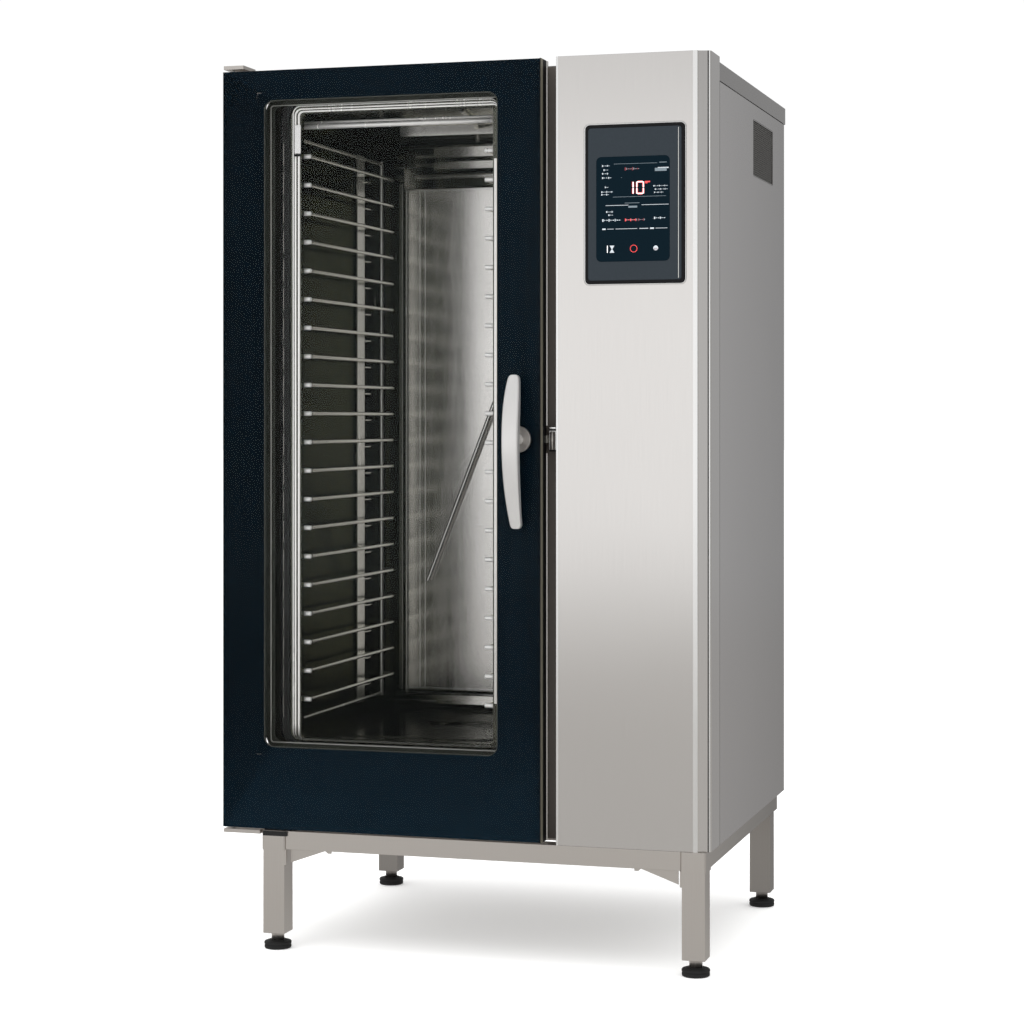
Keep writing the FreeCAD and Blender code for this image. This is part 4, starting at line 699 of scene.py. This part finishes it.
def build_door_trim():
    """Bead and linings round the window, lines on the inner pane and the layered edge of the door."""
    window_low, window_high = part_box("door_outer_glass")
    opening = (window_low[0] + 94 * MM, window_low[2] + 173.5 * MM, window_low[0] + 612 * MM,
               window_high[2] - 63.5 * MM)
    enamel, pane = low("door_enamel")[1], low("door_inner_glass")[1]
    for name, finish, outer, inner, start, end in (
            ("window_bead", "pane_black", (-1.0, 23.0), (1.6, 21.0), enamel + 0.2 * MM, enamel + 2.6 * MM),
            ("window_lining", "pane_black", (-14.0, 26.0), (-12.6, 25.0), enamel + 1.6 * MM, pane - 0.4 * MM),
            ("enamel_backing", "navy_enamel", (-24.0, 44.0), (-0.4, 22.4), enamel + 0.1 * MM, enamel + 0.9 * MM),
            ("pane_seal", "seal_grey", ((-2.4, 4, -18, 5.5), 6), ((-0.5, 5.9, -18, 7.4), 6),
             pane - 1.6 * MM, pane - 0.6 * MM),
            ("pane_border", "pane_black", (-14.0, 38.0), ((7.6, 7.6, -14, 7.6), 16.4),
             pane - 0.55 * MM, pane - 0.15 * MM)):
        hoops(name, finish, "door", [(inset_outline(opening, *outer), inset_outline(opening, *inner), start, end)])
    dashes = []
    x, z = opening[0] + 27 * MM, opening[1] + 60 * MM
    while z < opening[3] - 80 * MM:
        dashes.append(((x, pane - 1.6 * MM, z), (x + 1.2 * MM, pane - 0.6 * MM, z + 46 * MM)))
        z += 62 * MM
    blocks("pane_dashes", "collar_steel", "door", dashes)
    right, front, back = window_high[0], window_low[1], high("door_frame")[1]
    z0, z1 = window_low[2], window_high[2]
    blocks("door_edge_dark", "black_plastic", "door",
           [((right - 0.3 * MM, front + 15 * MM, z0), (right + 0.4 * MM, back - 13 * MM, z1)),
            ((right - 2.2 * MM, front - 0.1 * MM, z0), (right - 0.2 * MM, front + 0.4 * MM, z1))])
    blocks("door_edge_steel", "edge_olive", "door",
           [((right - 0.2 * MM, front + 0.4 * MM, z0), (right + 0.35 * MM, front + 15 * MM, z1))])
    keeper_low, keeper_high = low("latch_keeper")[2], high("latch_keeper")[2]
    blocks("door_edge_lip", "bright_edge", "door",
           [((right - 3 * MM, back - 7 * MM, start), (right + 1.2 * MM, back + 0.4 * MM, end))
            for start, end in ((z0, keeper_low - 4 * MM), (keeper_high + 3 * MM, z1))], bevel=0.0003)


def build_keeper_trim():
    """Bright block on the latch keeper's top that paints its highlight, a roller, and dark sleeves at its foot and
    under that block.
    """
    keeper = "latch_keeper"
    blocks("keeper_top_highlight", "bright_edge", "cabinet",
           [(corner(keeper, "LLH", -0.4, -0.8, -3.6), corner(keeper, "HHH", 0.4, -3, 0.4))], bevel=0.0008)
    roller = bmesh.new()
    lathe(roller, (middle(keeper)[0], *corner(keeper, "LLL", 0, 0.5)[1:]),
          ((3, 3), (5.6, 3.6), (5.6, 40), (3, 41)), sides=32)
    finish_piece("keeper_roller", roller, "stand_steel", "cabinet")
    blocks("keeper_sleeve", "black_plastic", "cabinet",
           [(corner(keeper, "LLL", -0.2, -0.3, -0.4), corner(keeper, "HHL", 0.2, -2, 3.4)),
            (corner(keeper, "LLH", -0.2, -0.3, -7.6), corner(keeper, "HHH", 0.2, -2, -3.8))], bevel=0.0006)


def build_stand_trim():
    """Dark slot of the door's rest on the stand, and the gusset plates under the front rail."""
    brackets = "leg_brackets"
    blocks("rest_slot", "black_rubber", "cabinet",
           [(corner(brackets, "LLH", 3, -0.8, -11), corner(brackets, "LLH", 57, 1, -0.6))])
    rail = low("frame_rails")
    gussets = bmesh.new()
    for edge, side in ((low(brackets)[0] + 60 * MM, 1), (high(brackets)[0] - 60 * MM, -1)):
        outline = [(edge + side * x * MM, rail[2] + z * MM)
                   for x, z in ((0, 1), (92, 1), (92, -7), (84, -7), (78, -2), (0, -30))]
        extrude(gussets, outline, "y", rail[1] + 12 * MM, rail[1] + 15 * MM)
    finish_piece("leg_gussets", gussets, "stand_steel", "cabinet", bevel=0.0004)


# ---------------------------- cavity details

def cavity_span():
    """Where what crosses the cavity starts and ends, and the plane before its rear wall."""
    return low("cavity_liner")[0] + 6 * MM, low("fan_baffle")[0] - 4 * MM, high("cavity_liner")[1] - 3 * MM


def rod(builder, left, y, z, radius, end_radius, length, sides):
    """A bar along X with tapered ends; its length and radii are in millimetres."""
    lathe(builder, (left, y, z), ((end_radius, 0), (radius, 1), (radius, length - 1), (end_radius, length)),
          "x", sides)


def build_ceiling():
    """Bars and plate at the cavity's ceiling, and a flat bright strip at the right of its mouth that paints a
    highlight there.
    """
    lowest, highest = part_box("cavity_liner")
    left, right, wall = cavity_span()
    front, top = lowest[1], highest[2]
    bars = bmesh.new()
    for depth, drop, radius in ((22, 37, 5.5), (46, 25, 3.0)):
        rod(bars, left, front + depth * MM, top - drop * MM, radius, radius * 0.7, (right - left) / MM, 24)
    finish_piece("ceiling_bars", bars, "roll_steel", "cabinet")
    # Painted highlight: a flat bright strip at the right of the mouth.
    blocks("mouth_highlight_strip", "bright_panel", "cabinet",
           [((right - 16.5 * MM, front - 0.6 * MM, lowest[2] + 90 * MM),
             (right - 4 * MM, front + 0.4 * MM, top - 120 * MM))], bevel=0.0003)
    blocks("ceiling_plate", "ceiling_steel", "cabinet",
           [((left + 16 * MM, front + 80 * MM, top - 3.4 * MM), (right - 8 * MM, wall - 26 * MM, top - 2.2 * MM))],
           bevel=0.0004)


def build_rear_wall():
    """Stepped ledges above and below the rear panel, leaning faces, uprights and the panel's folds."""
    base, top = low("cavity_liner")[2], high("cavity_liner")[2]
    left, right, wall = cavity_span()
    start = left + 14 * MM
    ledges = [(wall - depth * MM, top - (drop + tall) * MM, top - drop * MM)
              for drop, depth, tall in ((10, 24, 7), (34, 46, 9), (60, 58, 7), (84, 70, 12))]
    ledges += [(wall - depth * MM, base + rise * MM, base + (rise + tall) * MM)
               for rise, depth, tall in ((8, 64, 6), (24, 50, 8))]
    blocks("rear_ledges", "ceiling_steel", "cabinet",
           [((start, y, under), (right, wall, over)) for y, under, over in ledges], bevel=0.0022)
    edges = bmesh.new()
    for z, depth, radius in ((top - 14 * MM, 26, 4.0), (top - 38 * MM, 49, 3.0), (top - 62 * MM, 61, 4.5),
                             (top - 90 * MM, 73, 3.0), (base + 14 * MM, 66, 3.5), (base + 32 * MM, 52, 3.5),
                             (base + 46 * MM, 50, 2.5)):
        rod(edges, start, wall - depth * MM, z, radius, radius * 0.6, (right - left) / MM - 15, 20)
    finish_piece("rear_ledge_edges", edges, "bright_edge", "cabinet")
    faces = bmesh.new()
    hood_front = low("cavity_liner")[1] + 340 * MM
    for inset, y, under, over, lean in (
            (123, hood_front, top - 25 * MM, top - 3.5 * MM, 0.10),
            (120, wall - 84 * MM, top - 46 * MM, top - 23 * MM, 0.10),
            (120, wall - 84 * MM, top - 74 * MM, top - 57 * MM, 0.10),
            (127, wall - 90 * MM, base + 13 * MM, base + 33 * MM, -0.12)):
        slope = lean * (over - under)
        outline = ((y + max(slope, 0.0), under), (y + max(-slope, 0.0), over), (y + 8 * MM, over),
                   (y + 8 * MM, under))
        extrude(faces, outline, "x", left + inset * MM, right - 2 * MM)
    finish_piece("hood_faces", faces, "hood_steel", "cabinet", smooth=False)
    panel = "rear_air_panel"
    panel_low, panel_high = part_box(panel)
    uprights = ((left + 8 * MM, wall - 12 * MM, 9, 9), (left + 28 * MM, wall - 6 * MM, 5, 5),
                (panel_low[0] - 9 * MM, panel_low[1] + 3 * MM, 5, 12),
                (panel_high[0] + 5 * MM, panel_low[1] + 3 * MM, 5, 12))
    blocks("rear_uprights", "rack_steel", "cabinet",
           [((x, y, base + 34 * MM), (x + wide * MM, y + deep * MM, top - 98 * MM))
            for x, y, wide, deep in uprights], bevel=0.0012)
    blocks("panel_folds", "bright_edge", "cabinet",
           [(corner(panel, "LLL", 27, -1.2, 6), corner(panel, "LLH", 29.6, 0.2, -6)),
            (corner(panel, "LLL", 40, -1.2, 6), corner(panel, "LLH", 42.6, 0.2, -6)),
            (corner(panel, "LLL", 4, -1.2, 2), corner(panel, "HLL", -4, 0.2, 6)),
            (corner(panel, "LLH", 4, -1.2, -6), corner(panel, "HLH", -4, 0.2, -2))], bevel=0.0004)
    blocks("probe_box", "collar_steel", "cabinet",
           [(corner(panel, "LLH", -4, -22, -4), corner(panel, "LLH", 26, 30, 86))], bevel=0.0015)


def build_collar():
    """Rolled collar round the cavity's mouth with its bright beads, and a catch on its left side."""
    collar = "cavity_collar"
    lowest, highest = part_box(collar)
    sides = (lowest[0], lowest[2], highest[0], highest[2])
    face, back = lowest[1], highest[1]
    shoulder = inset_outline(sides, (7, 5, 2, 1), 22)
    flange = hoops("collar_flange", "polished_inner", "cabinet",
                   [(inset_outline(sides, 0, 24), shoulder, face + 3 * MM, back)], bevel=0.0012)
    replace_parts(flange, collar)
    hoops("collar_roll", "polished_inner", "cabinet",
          [(shoulder, inset_outline(sides, (26.5, 8, 4, 18), 12), face + 1.6 * MM, back)], bevel=0.0008)
    beads = []
    for near, far, crown_near, crown_far, sill in ((7.0, 9.2, 1.0, 3.4, 5.0), (11.5, 15.2, 7.0, 9.8, 6.0),
                                                   (19.0, 23.2, 12.2, 15.4, 7.0)):
        radius = 22 - 0.6 * near
        beads.append((inset_outline(sides, (near, sill, 2 + 0.1 * near, crown_near), radius),
                      inset_outline(sides, (far, sill + 0.6, 2 + 0.1 * far, crown_far), radius - 2),
                      face, face + 3 * MM))
    # The beads' lowest run takes painted shade from roll_steel.
    hoops("collar_beads", "roll_steel", "cabinet", beads, bevel=0.0006)
    blocks("collar_catch", "bright_edge", "cabinet",
           [(corner(collar, "LLH", 11.5, -1.6, -103), corner(collar, "LLH", 26, 1, -42))], bevel=0.0006)
    blocks("catch_foot", "black_plastic", "cabinet",
           [(corner(collar, "LLH", 11.5, -2.2, -109), corner(collar, "LLH", 24, 1, -104))], bevel=0.0006)


def build_cavity_floor():
    """Two pressed frames in the cavity's floor, and the ring round the strainer."""
    _, front, base = low("cavity_liner")
    left, right, wall = cavity_span()
    pressing = bmesh.new()
    for inset, rise in ((0.0, 1.4), (14.0, 0.8)):
        outer, inner = ([side + inset + step for side in (70, 60, 30, 90)] for step in (0, 4))
        sides = (left, front, right, wall)
        band(pressing, inset_outline(sides, outer, 50), inset_outline(sides, inner, 46), "z",
             base + 1.8 * MM, base + (2.2 + rise) * MM)
    finish_piece("floor_pressing", pressing, "polished_inner", "cabinet", bevel=0.0004)
    x, y, _ = middle("drain_strainer")
    ring = bmesh.new()
    lathe(ring, (x, y, high("drain_strainer")[2]), ((29, 0), (37, 0), (37, 1.0), (33, 2.2), (29, 1.4)), sides=56)
    finish_piece("drain_ring", ring, "polished_inner", "cabinet")


RACK_LEVELS = 20


def build_rack_details():
    """At every level, a small hook behind the left rack's strap and bright tips on the rails."""
    first, last = low("rack_left_rails")[2] + 4 * MM, high("rack_left_rails")[2] - 4 * MM
    levels = [first + number * (last - first) / (RACK_LEVELS - 1) for number in range(RACK_LEVELS)]
    strap_x, strap_y, _ = corner("rack_left_frame", "LLL", 5, 430)
    blocks("rack_hooks", "bright_wire", "left_rack",
           [((strap_x - 2 * MM, strap_y, z - 16 * MM), (strap_x + 7 * MM, strap_y + 26 * MM, z - 13 * MM))
            for z in levels], bevel=0.0005)
    for side, ends, start, end in (("left", "HLL", -22.5, 0.3), ("right", "LLL", -0.3, 27.0)):
        x, y, _ = corner(f"rack_{side}_rails", ends, 0, 4)
        tips = bmesh.new()
        for z in levels:
            lathe(tips, (x, y, z), ((3.4, start), (4.8, start + 0.8), (4.8, end - 0.8), (3.4, end)), "x", 18)
        finish_piece(f"rail_tips_{side}", tips, "rail_tip", f"{side}_rack")


build_feet()
build_handle()
build_panel()
build_display()
build_column_trim()
build_vent()
build_lid_trim()
build_rear()
build_door_trim()
build_keeper_trim()
build_stand_trim()
build_ceiling()
build_rear_wall()
build_collar()
build_cavity_floor()
build_rack_details()


# ---------------------------- floor, studio and camera

# Brightness of the room: (position, level) stops up its wall, and from behind to in front of the oven.
WALL_STOPS = ((0.0, 0.42), (0.18, 0.46), (0.30, 0.62), (0.40, 1.15), (0.47, 1.58), (0.60, 1.44),
              (0.70, 0.98), (0.80, 0.70), (1.0, 0.66))
FRONT_STOPS = ((0.0, 0.0), (0.5, 0.08), (0.82, 0.14), (0.92, 0.20), (0.965, 0.92), (1.0, 1.0))
SOFTBOX_DIRECTION = (-0.235, -0.97, 0)
DIM_RIGHT, DIM_LEFT = 0.36, 0.60
DIFFUSE_LEVEL, CAMERA_LEVEL = 1.32, 1.02
FLOOR_RADIUS, FLOOR_DROP = 80.0, 0.0005
FLOOR_MIRROR_FRONT, FLOOR_MIRROR_REAR = (0.50, 0.49, 0.475), (0.34, 0.335, 0.33)
FLOOR_MIRROR_NEAR, FLOOR_MIRROR_FAR = 4.0, 14.0
CAMERA_PLACE, CAMERA_TURN = (1.5091, -5.0950, 1.1278), 16.539
LENS, SENSOR, SHIFT = 83.68, 36.0, -0.0913


def link(tree, *pairs):
    for source, target in pairs:
        tree.links.new(source, target)


def ramp(tree, value, stops):
    """A smooth curve through (position, brightness) stops."""
    node = tree.nodes.new("ShaderNodeValToRGB")
    node.color_ramp.interpolation = "B_SPLINE"
    elements = node.color_ramp.elements
    while len(elements) < len(stops):
        elements.new(0.5)
    for element, (position, level) in zip(elements, stops):
        element.position = position
        element.color = (level, level, level, 1)
    tree.links.new(value, node.inputs["Fac"])
    return node.outputs["Color"]


def mix(tree, factor, first, second):
    """Blends a colour with another, or with a plain grey level."""
    node = tree.nodes.new("ShaderNodeMix")
    node.data_type = "RGBA"
    link(tree, (factor, node.inputs["Factor"]), (first, node.inputs["A"]))
    if isinstance(second, float):
        node.inputs["B"].default_value = (second, second, second, 1)
    else:
        link(tree, (second, node.inputs["B"]))
    return node.outputs["Result"]


def build_world():
    """White for the camera; a softbox room, bright in front and dim behind, for reflections."""
    world = bpy.data.worlds.new("studio")
    bpy.context.scene.world = world
    world.use_nodes = True
    world.cycles.sampling_method = "NONE"
    tree = world.node_tree
    tree.nodes.clear()
    direction = tree.nodes.new("ShaderNodeTexCoord").outputs["Generated"]
    split = tree.nodes.new("ShaderNodeSeparateXYZ")
    facing = tree.nodes.new("ShaderNodeVectorMath")
    facing.operation = "DOT_PRODUCT"
    facing.inputs[1].default_value = SOFTBOX_DIRECTION
    link(tree, (direction, split.inputs["Vector"]), (direction, facing.inputs[0]))
    wall = ramp(tree, spread(tree, split.outputs["Z"], 0.0, 1.0, -0.25, 0.25), WALL_STOPS)
    front = ramp(tree, spread(tree, facing.outputs["Value"], 0.0, 1.0, -1.0, 1.0), FRONT_STOPS)
    leftward = spread(tree, split.outputs["X"], 0.0, 1.0, 0.1, -0.4)
    dim = tint(tree, leftward, (DIM_RIGHT,) * 3, (DIM_LEFT,) * 3, 0.0, 1.0)
    rays = tree.nodes.new("ShaderNodeLightPath")
    lit_room = mix(tree, rays.outputs["Is Diffuse Ray"], mix(tree, front, dim, wall), DIFFUSE_LEVEL)
    seen = mix(tree, rays.outputs["Is Camera Ray"], lit_room, CAMERA_LEVEL)
    background = tree.nodes.new("ShaderNodeBackground")
    output = tree.nodes.new("ShaderNodeOutputWorld")
    link(tree, (seen, background.inputs["Color"]),
         (background.outputs["Background"], output.inputs["Surface"]))


def build_floor():
    """A pale floor that looks white, with a soft shadow, and reflects as a darker sheet near the oven."""
    builder = bmesh.new()
    bmesh.ops.create_circle(builder, cap_ends=True, segments=96, radius=FLOOR_RADIUS)
    mesh = bpy.data.meshes.new("floor")
    builder.to_mesh(mesh)
    builder.free()
    floor = bpy.data.objects.new("floor", mesh)
    floor.location.z = -FLOOR_DROP
    bpy.context.scene.collection.objects.link(floor)
    tree, surface = shader("floor", Roughness=0.9, Specular_IOR_Level=0.0, Base_Color=(0.95, 0.95, 0.945),
                           Emission_Color=(1, 1, 1), Emission_Strength=0.22)
    output = tree.nodes["Material Output"]
    mirrored = tree.nodes.new("ShaderNodeEmission")
    clear = tree.nodes.new("ShaderNodeBsdfTransparent")
    place = tree.nodes.new("ShaderNodeTexCoord").outputs["Object"]
    split = tree.nodes.new("ShaderNodeSeparateXYZ")
    link(tree, (place, split.inputs["Vector"]))
    depth = spread(tree, split.outputs["Y"], 0.0, 1.0, -0.6, 0.6)
    sheet = tint(tree, depth, FLOOR_MIRROR_FRONT, FLOOR_MIRROR_REAR, 0.0, 1.0)
    distance = tree.nodes.new("ShaderNodeVectorMath")
    distance.operation = "LENGTH"
    fade = tree.nodes.new("ShaderNodeMapRange")
    fade.interpolation_type = "SMOOTHSTEP"
    fade.inputs["From Min"].default_value = FLOOR_MIRROR_NEAR
    fade.inputs["From Max"].default_value = FLOOR_MIRROR_FAR
    far = tree.nodes.new("ShaderNodeMixShader")
    rays = tree.nodes.new("ShaderNodeLightPath")
    choice = tree.nodes.new("ShaderNodeMixShader")
    link(tree, (sheet, mirrored.inputs["Color"]), (place, distance.inputs[0]),
         (distance.outputs["Value"], fade.inputs["Value"]), (fade.outputs["Result"], far.inputs["Fac"]),
         (mirrored.outputs["Emission"], far.inputs[1]), (clear.outputs["BSDF"], far.inputs[2]),
         (rays.outputs["Is Glossy Ray"], choice.inputs["Fac"]), (surface.outputs["BSDF"], choice.inputs[1]),
         (far.outputs["Shader"], choice.inputs[2]), (choice.outputs["Shader"], output.inputs["Surface"]))
    mesh.materials.append(MATERIALS["floor"])


def build_lights():
    for name, place, aim, size, power in (
            ("top_light", (0.2, -0.9, 4.6), (0, 0, 0.6), 3.6, 60.0),
            ("front_light", (-2.2, -4.4, 5.6), (0, 0, 0.8), 2.4, 45.0)):
        data = bpy.data.lights.new(name, "AREA")
        data.shape = "DISK"
        data.size = size
        data.energy = power
        lamp = bpy.data.objects.new(name, data)
        lamp.location = place
        lamp.rotation_euler = (Vector(aim) - Vector(place)).to_track_quat("-Z", "Y").to_euler()
        lamp.visible_camera = False
        lamp.visible_glossy = False
        bpy.context.scene.collection.objects.link(lamp)


def build_camera():
    data = bpy.data.cameras.new("camera")
    data.lens = LENS
    data.sensor_width = SENSOR
    data.shift_y = SHIFT
    camera = bpy.data.objects.new("camera", data)
    camera.location = CAMERA_PLACE
    camera.rotation_euler = (math.radians(90), 0, math.radians(CAMERA_TURN))
    bpy.context.scene.collection.objects.link(camera)
    bpy.context.scene.camera = camera


build_world()
build_floor()
build_lights()
build_camera()
bpy.context.scene.view_settings.view_transform = "Standard"
